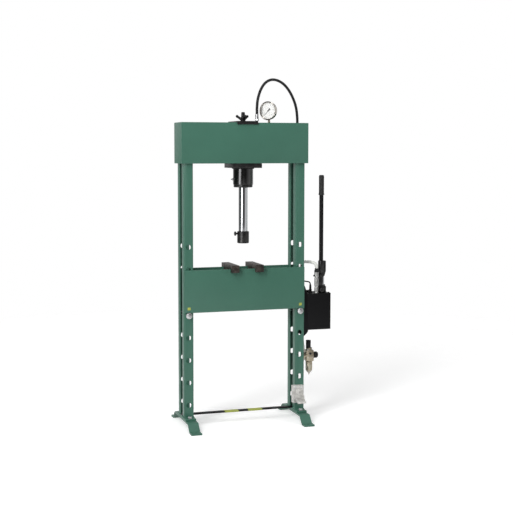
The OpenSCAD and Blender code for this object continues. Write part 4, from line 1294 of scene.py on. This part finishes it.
class PRESS_OT_gauge(PieceOperator):
    """Pressure gauge: case, dial with marks and numbers, needle, glass and stem"""

    bl_idname = "press.gauge"
    bl_label = "Pressure gauge"

    def build(self, sizes):
        self.centre = middle("gauge_case")
        self.facing = Vector((-math.sin(GAUGE_TURN), -math.cos(GAUGE_TURN), 0))
        self.radius = (high("gauge_case").z - low("gauge_case").z) / 2
        dial = middle("gauge_dial") - self.centre
        self.dial_depth = dial.dot(self.facing)
        self.add_case()
        self.add_dial(sizes)
        self.add_stem()

    def placed(self, mesh, depth):
        """Moves a mesh drawn in the X-Y plane on to the dial, facing the viewer."""
        side = Vector((math.cos(GAUGE_TURN), -math.sin(GAUGE_TURN), 0))
        up = Vector((0, 0, 1))
        turn = Matrix((side, up, self.facing)).transposed().to_4x4()
        mesh.transform(Matrix.Translation(self.centre + self.facing * depth) @ turn)
        return mesh

    def add_case(self):
        """Spun case and rolled bezel, hollow in front of the dial."""
        r, half, floor = self.radius, 0.016, self.dial_depth - 0.0004
        outline = rounded([
            (0, -half), (r - 0.010, -half), (r - 0.004, -half + 0.006), (r - 0.004, half - 0.011),
            (r - 0.0012, half - 0.010), (r, half - 0.008), (r, half - 0.002), (r - 0.003, half),
            (r - 0.0058, half - 0.001), (r - 0.0066, half - 0.005), (r - 0.0066, floor),
            (0, floor)], 0.0022, 4)
        case = turned("case", outline, self.centre, self.facing, 96, 50)
        plug = turned("plug", rounded([(0, 0), (0.006, 0), (0.006, 0.0018), (0.0045, 0.0025),
                                       (0, 0.0025)], 0.0005),
                      self.centre - self.facing * (half - 0.0005) + Vector((0, 0, 0.026)),
                      -self.facing, 32)
        mesh = joined("gauge_case_finished", case, plug)
        add_piece("gauge_case_finished", mesh, "carriage", "stainless",
                  stands_for=["gauge_case"])
        r_glass = r - 0.0066
        glass = turned("glass", [
            (0, half - 0.0045), (r_glass, half - 0.0055), (r_glass, half - 0.0035),
            (r_glass * 0.6, half - 0.0024), (0, half - 0.002)], self.centre, self.facing, 96, 60)
        add_piece("gauge_glass_finished", glass, "carriage", "clear_glass",
                  stands_for=["gauge_glass"])

    def add_dial(self, sizes):
        r = self.radius - 0.0075
        d = self.dial_depth
        dial = turned("dial", rounded([(0, d - 0.0007), (r, d - 0.0007), (r, d + 0.0009),
                                       (0, d + 0.0009)], 0.0003), self.centre, self.facing, 96)
        add_piece("gauge_dial_finished", dial, "carriage", "dial_white",
                  stands_for=["gauge_dial"])
        growth = mark_growth(finish_for("needle_black"))
        fine = growth.grow("fine_marks", seed_point(), Radius=r - 0.0045,
                           Count=sizes.dial_divisions + 1, Length=0.0022, Width=0.0004,
                           Zero=DIAL_ZERO, Sweep=DIAL_SWEEP)
        bold = growth.grow("bold_marks", seed_point(), Radius=r - 0.0053, Count=6,
                           Length=0.0038, Width=0.0009, Zero=DIAL_ZERO, Sweep=DIAL_SWEEP)
        marks = joined("gauge_marks", fine, bold)
        add_piece("gauge_marks", self.placed(marks, d + 0.00095), "carriage", "needle_black")
        numbers = [self.number(str(5 * i), DIAL_ZERO - DIAL_SWEEP * i / 5, r - 0.0125)
                   for i in range(6)]
        text = joined("gauge_numbers", *numbers)
        add_piece("gauge_numbers", self.placed(text, d + 0.0009), "carriage", "needle_black")
        self.add_needle()

    def add_needle(self):
        """Tapered pointer at zero, with a broad tail behind its hub."""
        reach = self.radius - 0.017
        outline = [(reach, 0), (0.0, 0.0017), (-0.0035, 0.0021), (-0.0050, 0.0034),
                   (-0.0175, 0.0042), (-0.0175, -0.0042), (-0.0050, -0.0034),
                   (-0.0035, -0.0021), (0.0, -0.0017)]
        bm = bmesh.new()
        face = bm.faces.new([bm.verts.new((x, y, 0)) for x, y in outline])
        raised = bmesh.ops.extrude_face_region(bm, geom=[face])["geom"]
        bmesh.ops.translate(bm, vec=(0, 0, 0.0006),
                            verts=[v for v in raised if isinstance(v, bmesh.types.BMVert)])
        bm.transform(Matrix.Rotation(DIAL_ZERO, 4, "Z"))
        pointer = mesh_from(bm, "pointer", 30)
        hub = turned("hub", rounded([(0, 0), (0.0042, 0), (0.0042, 0.0014), (0, 0.0016)],
                                    0.0005), steps=32)
        needle = self.placed(joined("gauge_needle_finished", pointer, hub),
                             self.dial_depth + 0.0018)
        add_piece("gauge_needle_finished", needle, "needle", "needle_black",
                  stands_for=["gauge_needle"])

    def number(self, characters, angle, radius):
        """One printed number as a mesh, upright at its place round the dial."""
        curve = bpy.data.curves.new("number", "FONT")
        curve.body = characters
        curve.size = 0.0068
        curve.align_x = "CENTER"
        curve.align_y = "CENTER"
        curve.extrude = 0.00012
        holder = new_object("number", curve)
        mesh = settled(holder)
        mesh.transform(Matrix.Translation((radius * math.cos(angle), radius * math.sin(angle), 0)))
        mesh.materials.clear()
        return mesh

    def add_stem(self):
        """Brass stem with its hexagon, from the manifold up into the case."""
        a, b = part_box("gauge_stem")
        x, y = middle("gauge_stem").x, middle("gauge_stem").y
        seat = high("oil_manifold").z
        neck = self.centre.z - self.radius
        shapes = [
            turned("shank", rounded([
                (0, a.z), (0.0048, a.z), (0.0048, seat), (0.0068, seat + 0.001),
                (0.0068, neck - 0.006), (0.0062, neck - 0.003), (0.0048, neck - 0.001),
                (0.0048, b.z), (0, b.z)], 0.0008), (x, y, 0), (0, 0, 1), 40),
            hexagon("flats", 0.0188, (x, y, seat + 0.002), 0.012),
        ]
        mesh = joined("gauge_stem_finished", *shapes)
        add_piece("gauge_stem_finished", mesh, "carriage", "brass", stands_for=["gauge_stem"])


class PRESS_OT_pump(PieceOperator):
    """Hand pump: bracket, bolts, reservoir, cover, pump body, plunger and release knob"""

    bl_idname = "press.pump"
    bl_label = "Pump"

    def build(self, sizes):
        soften_node("pump_bracket", long_and_short(0.0012, 0.0005), "black_paint")
        a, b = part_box("reservoir")

        def tank_edges(along, centre, angle):
            outside = min(abs(centre.x - a.x), abs(centre.x - b.x)) < 0.0005
            corner = min(abs(centre.y - a.y), abs(centre.y - b.y)) < 0.0005
            return 0.003 if outside and corner and abs(along.z) > 0.05 else 0.0008

        soften_node("reservoir", tank_edges, "black_paint", 4)
        soften_node("reservoir_cover", long_and_short(0.0014, 0.0004), "black_paint")
        self.add_pump_body(sizes)
        self.add_plunger()
        soften_node("lever_pivot_pin", 0.0004, "black_oxide", 2)
        self.add_bolts()
        self.add_release_knob()

    def add_pump_body(self, sizes):
        """Cast body with two slim ears for the lever's pivot and a gland for the plunger."""
        a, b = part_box("pump_block")
        pivot = middle("lever_pivot_pin")
        top = a.z + 0.036
        ear = 0.0080
        shapes = [block("body", a, (b.x, b.y, top), sizes.cast_edge * 0.8)]
        gap, thick = 0.014, 0.006
        for y in (a.y, b.y):
            inner = math.copysign(gap, y)
            outer = math.copysign(gap + thick, y)
            bm = bmesh.new()
            arc = [(pivot.x + ear * math.cos(math.pi * i / 14),
                    pivot.z + ear * math.sin(math.pi * i / 14)) for i in range(15)]
            side = [(a.x + 0.003, top - 0.001), (a.x + 0.025, top - 0.001), *arc]
            face = bm.faces.new([bm.verts.new((x, inner, z)) for x, z in side])
            raised = bmesh.ops.extrude_face_region(bm, geom=[face])["geom"]
            bmesh.ops.translate(bm, vec=(0, outer - inner, 0),
                                verts=[v for v in raised if isinstance(v, bmesh.types.BMVert)])
            bmesh.ops.recalc_face_normals(bm, faces=bm.faces)
            rim = [e for e in bm.edges if e.calc_face_angle(0) > math.radians(60)]
            bmesh.ops.bevel(bm, geom=rim, offset=0.001, segments=2, profile=0.6,
                            affect="EDGES")
            shapes.append(mesh_from(bm, "ear", 35))
        plunger = middle("pump_plunger")
        shapes.append(hexagon("gland", 0.026, (plunger.x, plunger.y, top - 0.001), 0.009))
        mesh = joined("pump_block_finished", *shapes)
        add_piece("pump_block_finished", mesh, "frame", "black_oxide",
                  stands_for=["pump_block"])

    def add_plunger(self):
        """Chromed plunger with a rounded top under the lever's nose."""
        a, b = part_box("pump_plunger")
        centre = middle("pump_plunger")
        radius = (b.x - a.x) / 2 + 0.0014
        mesh = turned("pump_plunger_finished", rounded([
            (0, a.z), (radius, a.z), (radius, b.z - 0.002), (radius - 0.002, b.z), (0, b.z)],
            0.0012), (centre.x, centre.y, 0), (0, 0, 1), 56)
        add_piece("pump_plunger_finished", mesh, body_of_node("pump_plunger"), "hard_chrome",
                  stands_for=["pump_plunger"])

    def add_bolts(self):
        """Bolts through the bracket into the column, with nuts inside it."""
        a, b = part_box("bracket_bolts")
        seat = high("right_column").x + 0.006
        places = sorted({(round(y, 3), round(z, 3)) for y in (a.y + 0.009, b.y - 0.009)
                         for z in (a.z + 0.009, b.z - 0.009)})
        growth = bolt_growth(finish_for("zinc_steel"))
        heads = growth.grow("heads", point_mesh("seats", [(seat, y, z) for y, z in places]),
                            Flats=0.016, Head=0.0060, Washer=0.0098, Thickness=0.0004,
                            Shank=0.005, Reach=0.012, Direction=(1.0, 0.0, 0.0))
        inside = high("right_column").x - 0.006
        nuts = growth.grow("nuts", point_mesh("nut_seats", [(inside, y, z) for y, z in places]),
                           Flats=0.016, Head=0.0056, Washer=0.0098, Thickness=0.0004,
                           Shank=0.002, Reach=0.001, Direction=(-1.0, 0.0, 0.0))
        mesh = joined("bracket_bolts_finished", heads, nuts)
        mesh.shade_smooth()
        crisp(mesh)
        add_piece("bracket_bolts_finished", mesh, "frame", "zinc_steel",
                  stands_for=["bracket_bolts"])

    def add_release_knob(self):
        """Round knob with a knurled edge on the release valve's spindle."""
        a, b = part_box("release_knob")
        centre = middle("release_knob")
        length = b.y - a.y
        radius = (b.x - a.x) / 2
        spindle = 0.005
        body = turned("knob", rounded([
            (0, 0), (radius - 0.003, 0), (radius - 0.0009, 0.0015), (radius - 0.0009, 0.0105),
            (radius - 0.003, 0.012), (0.008, 0.012), (spindle, 0.014), (spindle, length), (0, length)],
            0.0008), (centre.x, a.y, centre.z), (0, 1, 0))
        ribs = ribs_round((centre.x, a.y + 0.006, centre.z), "X", "black_oxide", Count=30,
                          Radius=radius - 0.0011, Length=0.009, Rib=0.0011)
        mesh = joined("release_knob_finished", body, ribs)
        add_piece("release_knob_finished", mesh, "release_valve", "black_oxide",
                  stands_for=["release_knob"])


class PRESS_OT_lever(PieceOperator):
    """Pump lever: cast socket, tube and ribbed grip"""

    bl_idname = "press.lever"
    bl_label = "Lever"

    def build(self, sizes):
        soften_node("lever_socket", long_and_short(0.0018, 0.0006), "black_oxide")
        soften_node("lever_tube", 0.0006, "black_paint", 2)
        a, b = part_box("lever_grip")
        x, y = middle("lever_grip").x, middle("lever_grip").y
        inner = 0.01225
        top = b.z
        outline = rounded([
            (inner, a.z), (0.0166, a.z), (0.0170, a.z + 0.003), (0.0166, a.z + 0.006),
            (0.0146, a.z + 0.009), (0.0143, top - 0.030), (0.0150, top - 0.012),
            (0.0138, top - 0.003), (0.0100, top), (0, top), ], 0.0016, 5)
        inside = [(0, top - 0.004), (inner, top - 0.004), (inner, a.z)]
        body = turned("grip", outline + inside, (x, y, 0), (0, 0, 1), 56, 45)
        pitch = (b.z - a.z - 0.034) / max(1, sizes.grip_ribs)
        rings = ring_growth(finish_for("grip_rubber")).grow(
            "rings", seed_point(), Radius=0.0142, Wire=0.0009,
            Count=sizes.grip_ribs, Pitch=pitch)
        rings.transform(Matrix.Translation((x, y, a.z + 0.013)))
        mesh = joined("lever_grip_finished", body, rings)
        add_piece("lever_grip_finished", mesh, "lever", "grip_rubber",
                  stands_for=["lever_grip"])


class PRESS_OT_air_motor(PieceOperator):
    """Air motor on the reservoir and the milky tube that feeds it"""

    bl_idname = "press.air_motor"
    bl_label = "Air motor"

    def build(self, sizes):
        a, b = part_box("air_motor")
        x = Vector(AIR_ROUTE[0]).x * MM
        y = Vector(AIR_ROUTE[0]).y * MM
        foot = a.z
        top = b.z - 0.006
        shapes = [
            hexagon("foot", 0.0210, (x, y, foot), 0.008),
            turned("barrel", rounded([
                (0, foot + 0.007), (0.0098, foot + 0.007), (0.0118, foot + 0.012),
                (0.0118, foot + 0.030), (0.0105, foot + 0.033), (0.0105, foot + 0.040),
                (0.0118, foot + 0.043), (0.0118, foot + 0.084), (0.0104, foot + 0.087),
                (0.0104, foot + 0.094), (0.0122, foot + 0.097), (0.0122, foot + 0.120),
                (0, foot + 0.120)], 0.0008), (x, y, 0), (0, 0, 1), 48),
        ]
        add_piece("air_motor_finished", joined("air_motor_finished", *shapes), "frame",
                  "cast_alloy", finish_for("motor_alloy"), stands_for=["air_motor"])
        collar = joined(
            "air_motor_collar",
            turned("collar", rounded([(0, foot + 0.119), (0.0126, foot + 0.119),
                                      (0.0129, foot + 0.130), (0.0118, top), (0.0102, top + 0.002),
                                      (0.0102, b.z + 0.005), (0.0070, b.z + 0.006),
                                      (0, b.z + 0.006)], 0.001),
                   (x, y, 0), (0, 0, 1), 48),
            hexagon("side_port", 0.0092, (x - 0.018, y, foot + 0.100), 0.012, (1, 0, 0), 0.0006))
        add_piece("air_motor_collar", collar, "frame", "black_plastic")
        tube = tube_growth(finish_for("clear_tube")).grow(
            "air_hose_finished", path_mesh("route", smooth_route(AIR_ROUTE, 8)),
            Radius=AIR_TUBE_D / 2, Sides=24)
        add_piece("air_hose_finished", tube, "frame", "clear_tube", stands_for=["air_hose"])


# height of the black cover on the service unit's metal body
COVER_HEIGHT = 0.0445


class PRESS_OT_service_unit(PieceOperator):
    """Air service unit: body, black top, pressure knob and clear bowl"""

    bl_idname = "press.service_unit"
    bl_label = "Air service unit"

    def build(self, sizes):
        mesh = softened("regulator_body", long_and_short(0.0016, 0.0, 0.018), 3)
        mesh.materials.append(finish_for("brass"))
        mesh.materials.append(finish_for("black_plastic"))
        cap = high("regulator_body").z - COVER_HEIGHT
        for face in mesh.polygons:
            face.material_index = 1 if face.center.z > cap else 0
        add_piece("regulator_body_finished", mesh, "frame", "brass",
                  stands_for=["regulator_body"])
        self.add_trim()
        self.add_knob(sizes)
        self.add_bowl()

    def add_trim(self):
        """Port plug and cover screws on the body."""
        bowl = middle("regulator_bowl")
        cap = high("regulator_body").z - COVER_HEIGHT
        front = low("regulator_bowl").y - 0.001
        seats = [(bowl.x + side, front, cap - drop)
                 for drop in (0.008, 0.050) for side in (-0.013, 0.013)]
        screws = bolt_growth(finish_for("zinc_steel")).grow(
            "screws", point_mesh("seats", seats), Flats=0.0046, Head=0.002, Washer=0.0034,
            Thickness=0.0006, Shank=0.0015, Reach=0.008, Direction=(0.0, -1.0, 0.0))
        crisp(screws)
        add_piece("regulator_screws", screws, "frame", "zinc_steel")
        plug = hexagon("regulator_plug", 0.013, (bowl.x, front + 0.004, cap - 0.030), 0.009,
                       (0, -1, 0), 0.0008)
        add_piece("regulator_plug", plug, "frame", "black_oxide")

    def add_knob(self, sizes):
        a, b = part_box("regulator_knob")
        centre = middle("regulator_knob")
        length = b.x - a.x
        radius = (b.z - a.z) / 2
        body = turned("knob", rounded([
            (0, 0), (radius - 0.0035, 0), (radius - 0.0012, 0.002), (radius - 0.0014, length - 0.004),
            (radius - 0.004, length), (0.006, length), (0.0055, length - 0.001), (0, length - 0.001)],
            0.0012), (a.x, centre.y, centre.z), (1, 0, 0))
        ribs = ribs_round((a.x + length / 2 - 0.0008, centre.y, centre.z), "Y",
                          "black_plastic", Count=sizes.knob_ribs, Radius=radius - 0.0016,
                          Length=length - 0.008, Rib=0.0015)
        mesh = joined("regulator_knob_finished", body, ribs)
        add_piece("regulator_knob_finished", mesh, "pressure_knob", "black_plastic",
                  stands_for=["regulator_knob"])

    def add_bowl(self):
        """Clear bowl with its wall, filter element and drain."""
        a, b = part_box("regulator_bowl")
        x, y = middle("regulator_bowl").x, middle("regulator_bowl").y
        top, foot = b.z, a.z
        outer = rounded([(0, foot), (0.004, foot), (0.004, foot + 0.010), (0.010, foot + 0.014),
                         (0.0165, foot + 0.022), (0.018, foot + 0.031), (0.018, top)], 0.004, 5)
        inner = rounded([(0.0155, top), (0.0155, foot + 0.033), (0.014, foot + 0.026),
                         (0.008, foot + 0.019), (0, foot + 0.018)], 0.003, 5)
        bowl = turned("regulator_bowl_finished", outer + inner, (x, y, 0), (0, 0, 1), 56, 50)
        add_piece("regulator_bowl_finished", bowl, "frame", "bowl_plastic",
                  stands_for=["regulator_bowl"])
        element = joined(
            "regulator_filter",
            turned("filter", rounded([(0, foot + 0.034), (0.009, foot + 0.034),
                                      (0.009, top - 0.004), (0, top - 0.004)], 0.001),
                   (x, y, 0), (0, 0, 1), 40),
            turned("baffle", [(0, foot + 0.030), (0.0125, foot + 0.030), (0.0125, foot + 0.0325),
                              (0, foot + 0.0335)], (x, y, 0), (0, 0, 1), 40))
        add_piece("regulator_filter", element, "frame", "dial_white")
        self.add_guard(x, y, top, foot)

    def add_guard(self, x, y, top, foot):
        """Sheet guard round the bowl: two bands joined by four strips."""
        wall = 0.0008
        near, far = 0.0184, 0.0184 + wall
        bands = [turned("band", [(near, z0), (far, z0), (far, z1), (near, z1), (near, z0)],
                        (x, y, 0), (0, 0, 1), 56)
                 for z0, z1 in ((top - 0.0100, top - 0.0004), (foot + 0.029, foot + 0.0335))]
        for i in range(4):
            angle = math.radians(45 + 90 * i)
            strip = block("strip", (near, -0.0042, foot + 0.031), (far, 0.0042, top - 0.005),
                          wall * 0.3, 2)
            strip.transform(Matrix.Translation((x, y, 0)) @ Matrix.Rotation(angle, 4, "Z"))
            bands.append(strip)
        guard = joined("regulator_guard", *bands)
        add_piece("regulator_guard", guard, "frame", "brass")


class PRESS_OT_pedal_valve(PieceOperator):
    """Cast pedal valve on the right column: body, treadle and its ribs"""

    bl_idname = "press.pedal_valve"
    bl_label = "Pedal valve"

    def build(self, sizes):
        soften_node("pedal_body", long_and_short(sizes.cast_edge * 0.75, 0.0007), "cast_alloy")
        soften_node("pedal_treadle", long_and_short(0.0014, 0.0006), "cast_alloy")
        self.add_tread()
        self.add_screws()

    def add_tread(self):
        """Ribs across the top of the treadle."""
        a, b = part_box("pedal_treadle")
        heel = Vector((0, a.y + 0.044, b.z + 0.0005))
        toe = Vector((0, a.y + 0.008, b.z - 0.0165))
        count, margin, half = 6, 0.009, 0.0013
        ribs = []
        for i in range(count):
            at = heel.lerp(toe, i / (count - 1))
            ribs.append(block("rib", (a.x + margin, at.y - half, at.z - 0.003),
                              (b.x - margin, at.y + half, at.z + 0.0002), 0.0006, 2))
        mesh = joined("pedal_treadle_ribs", *ribs)
        add_piece("pedal_treadle_ribs", mesh, "treadle", "cast_alloy")

    def add_screws(self):
        """Two socket screws that hold the valve to the column."""
        a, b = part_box("pedal_body")
        front = low("left_column").y - 0.028
        growth = bolt_growth(finish_for("zinc_steel"))
        places = [(a.x + 0.014, front, b.z - 0.010), (b.x - 0.014, front, b.z - 0.010)]
        mesh = growth.grow("pedal_screws", point_mesh("seats", places), Flats=0.008, Head=0.0028,
                           Washer=0.0056, Thickness=0.0008, Shank=0.002, Reach=0.004,
                           Direction=(0.0, -1.0, 0.0))
        crisp(mesh)
        add_piece("pedal_screws", mesh, "frame", "zinc_steel")


# ---------- stage ----------

CAMERA_PLACE = (-1.803, -5.831, 1.527)
CAMERA_TURN = (math.pi / 2 - 0.076, 0.0, -0.301)
CAMERA_LENS = 76.53
CAMERA_SHIFT = (0.0283, -0.0452)

FLOOR_RADIUS = 4.6
FLOOR_FADE = 1.9

# place and size of each light
STUDIO_LIGHTS = (
    ("key", (-2.6, -2.6, 3.0), (1.8, 2.4)),
    ("fill", (3.4, -3.2, 1.9), (2.4, 2.6)),
    ("top", (0.1, -0.5, 5.0), (3.2, 3.2)),
)

# lit parts of the studio's walls: bearing, start and end of the fade, brightness
STUDIO_WALLS = (
    ((-0.777, -0.629, 0.0), 0.974, 0.99, 5.6),
    ((1.0, 0.0, 0.0), 0.40, 0.98, 0.75),
    ((0.0, 1.0, 0.0), 0.72, 1.0, 0.55),
)


class PRESS_OT_stage(bpy.types.Operator):
    """Pale floor, soft studio light and the camera"""

    bl_idname = "press.stage"
    bl_label = "Stage"

    def execute(self, context):
        studio = context.scene.press_studio
        self.add_camera(context.scene)
        self.add_floor()
        self.add_surroundings(context.scene, studio)
        aim = (CAD_BOX[0] + CAD_BOX[1]) / 2
        for name, place, size in STUDIO_LIGHTS:
            self.add_light(name, place, size, getattr(studio, name + "_power"), aim)
        return {"FINISHED"}

    def add_camera(self, scene):
        data = bpy.data.cameras.new("camera")
        data.lens = CAMERA_LENS
        data.sensor_width = 36
        data.shift_x, data.shift_y = CAMERA_SHIFT
        data.clip_end = 60
        camera = new_object("camera", data)
        camera.location = CAMERA_PLACE
        camera.rotation_euler = CAMERA_TURN
        scene.camera = camera

    def add_floor(self):
        """Round pale floor that fades out towards its rim."""
        steps = 96
        mesh = bpy.data.meshes.new("floor")
        turns = [math.tau * i / steps for i in range(steps)]
        rim = [(FLOOR_RADIUS * math.cos(t), FLOOR_RADIUS * math.sin(t), -0.0002) for t in turns]
        mesh.from_pydata(rim, [], [tuple(range(steps))])
        floor = new_object("floor", mesh)
        pale = Finish("pale_floor", (0.88, 0.88, 0.88), 0.75, Emission_Strength=0.33,
                      Emission_Color=(1, 1, 1, 1))
        pale.vary("Roughness", pale.noise(3, 2), 0.68, 0.82)
        reach = pale.nodes.new("ShaderNodeVectorMath")
        reach.operation = "LENGTH"
        pale.links.new(pale.place, reach.inputs[0])
        pale.links.new(pale.ranged(reach.outputs["Value"], FLOOR_FADE, FLOOR_RADIUS - 0.1, 1, 0),
                       pale.shader.inputs["Alpha"])
        mesh.materials.append(pale.material)
        floor.visible_diffuse = False

    def add_surroundings(self, scene, studio):
        """White backdrop and soft light; metal reflects dim walls with lit parts."""
        world = bpy.data.worlds.new("studio")
        scene.world = world
        scene.view_settings.view_transform = "Standard"
        world.use_nodes = True
        nodes, links = world.node_tree.nodes, world.node_tree.links
        turned_flat = nodes.new("ShaderNodeVectorMath")
        turned_flat.operation = "MULTIPLY"
        turned_flat.inputs[1].default_value = (1, 1, 0)
        links.new(nodes.new("ShaderNodeTexCoord").outputs["Generated"], turned_flat.inputs[0])
        bearing = nodes.new("ShaderNodeVectorMath")
        bearing.operation = "NORMALIZE"
        links.new(turned_flat.outputs["Vector"], bearing.inputs[0])
        level = None
        for direction, start, end, rise in STUDIO_WALLS:
            towards = nodes.new("ShaderNodeVectorMath")
            towards.operation = "DOT_PRODUCT"
            towards.inputs[1].default_value = direction
            links.new(bearing.outputs["Vector"], towards.inputs[0])
            part = nodes.new("ShaderNodeMapRange")
            for label, value in (("From Min", start), ("From Max", end), ("To Min", 0),
                                 ("To Max", rise)):
                part.inputs[label].default_value = value
            links.new(towards.outputs["Value"], part.inputs["Value"])
            total = nodes.new("ShaderNodeMath")
            total.inputs[1].default_value = studio.walls
            if level is not None:
                links.new(level, total.inputs[1])
            links.new(part.outputs["Result"], total.inputs[0])
            level = total.outputs[0]
        walls = nodes["Background"]
        walls.inputs["Color"].default_value = (1, 1, 1, 1)
        links.new(level, walls.inputs["Strength"])
        path = nodes.new("ShaderNodeLightPath")
        seen = walls.outputs["Background"]
        for ray, strength in (("Is Diffuse Ray", studio.sky), ("Is Camera Ray", 1.0)):
            even = nodes.new("ShaderNodeBackground")
            even.inputs["Color"].default_value = (1, 1, 1, 1)
            even.inputs["Strength"].default_value = strength
            mix = nodes.new("ShaderNodeMixShader")
            links.new(path.outputs[ray], mix.inputs["Fac"])
            links.new(seen, mix.inputs[1])
            links.new(even.outputs["Background"], mix.inputs[2])
            seen = mix.outputs["Shader"]
        links.new(seen, nodes["World Output"].inputs["Surface"])

    def add_light(self, name, place, size, power, aim):
        data = bpy.data.lights.new(name, "AREA")
        data.shape = "RECTANGLE"
        data.size, data.size_y = size
        data.energy = power
        lamp = new_object(name, data)
        lamp.visible_glossy = name == "top"
        lamp.location = place
        lamp.rotation_euler = (aim - Vector(place)).to_track_quat("-Z", "Y").to_euler()


# ---------- panel and registration ----------

FRAME_SLOTS = {row["node"]: row["material_slot"] for row in FRAME["record"]["subparts"]}

BUILD_STEPS = (
    PRESS_OT_stage, PRESS_OT_oil_line, PRESS_OT_air_motor, PRESS_OT_columns, PRESS_OT_feet,
    PRESS_OT_head, PRESS_OT_bed, PRESS_OT_pins_and_blocks, PRESS_OT_carriage,
    PRESS_OT_star_knob, PRESS_OT_ram, PRESS_OT_gauge, PRESS_OT_pump, PRESS_OT_lever,
    PRESS_OT_service_unit, PRESS_OT_pedal_valve,
)


class PRESS_PT_panel(bpy.types.Panel):
    """Settings and build steps of the press."""

    bl_label = "Hydraulic shop press"
    bl_idname = "PRESS_PT_panel"
    bl_space_type = "VIEW_3D"
    bl_region_type = "UI"
    bl_category = "Press"

    def draw(self, context):
        for settings in SETTINGS:
            box = self.layout.box()
            group = getattr(context.scene, settings)
            for name in group.__annotations__:
                box.prop(group, name)
        for step in BUILD_STEPS:
            self.layout.operator(step.bl_idname)


SETTINGS = {
    "press_sizes": PressSizes, "press_colours": PressColours, "press_studio": PressStudio}
CLASSES = (*SETTINGS.values(), *BUILD_STEPS, PRESS_PT_panel)


def register():
    for cls in CLASSES:
        bpy.utils.register_class(cls)
    for name, group in SETTINGS.items():
        setattr(bpy.types.Scene, name, PointerProperty(type=group))


def unregister():
    for name in SETTINGS:
        delattr(bpy.types.Scene, name)
    for cls in reversed(CLASSES):
        bpy.utils.unregister_class(cls)


def main():
    register()
    for step in BUILD_STEPS:
        group, name = step.bl_idname.split(".")
        getattr(getattr(bpy.ops, group), name)()


if __name__ == "__main__":
    main()
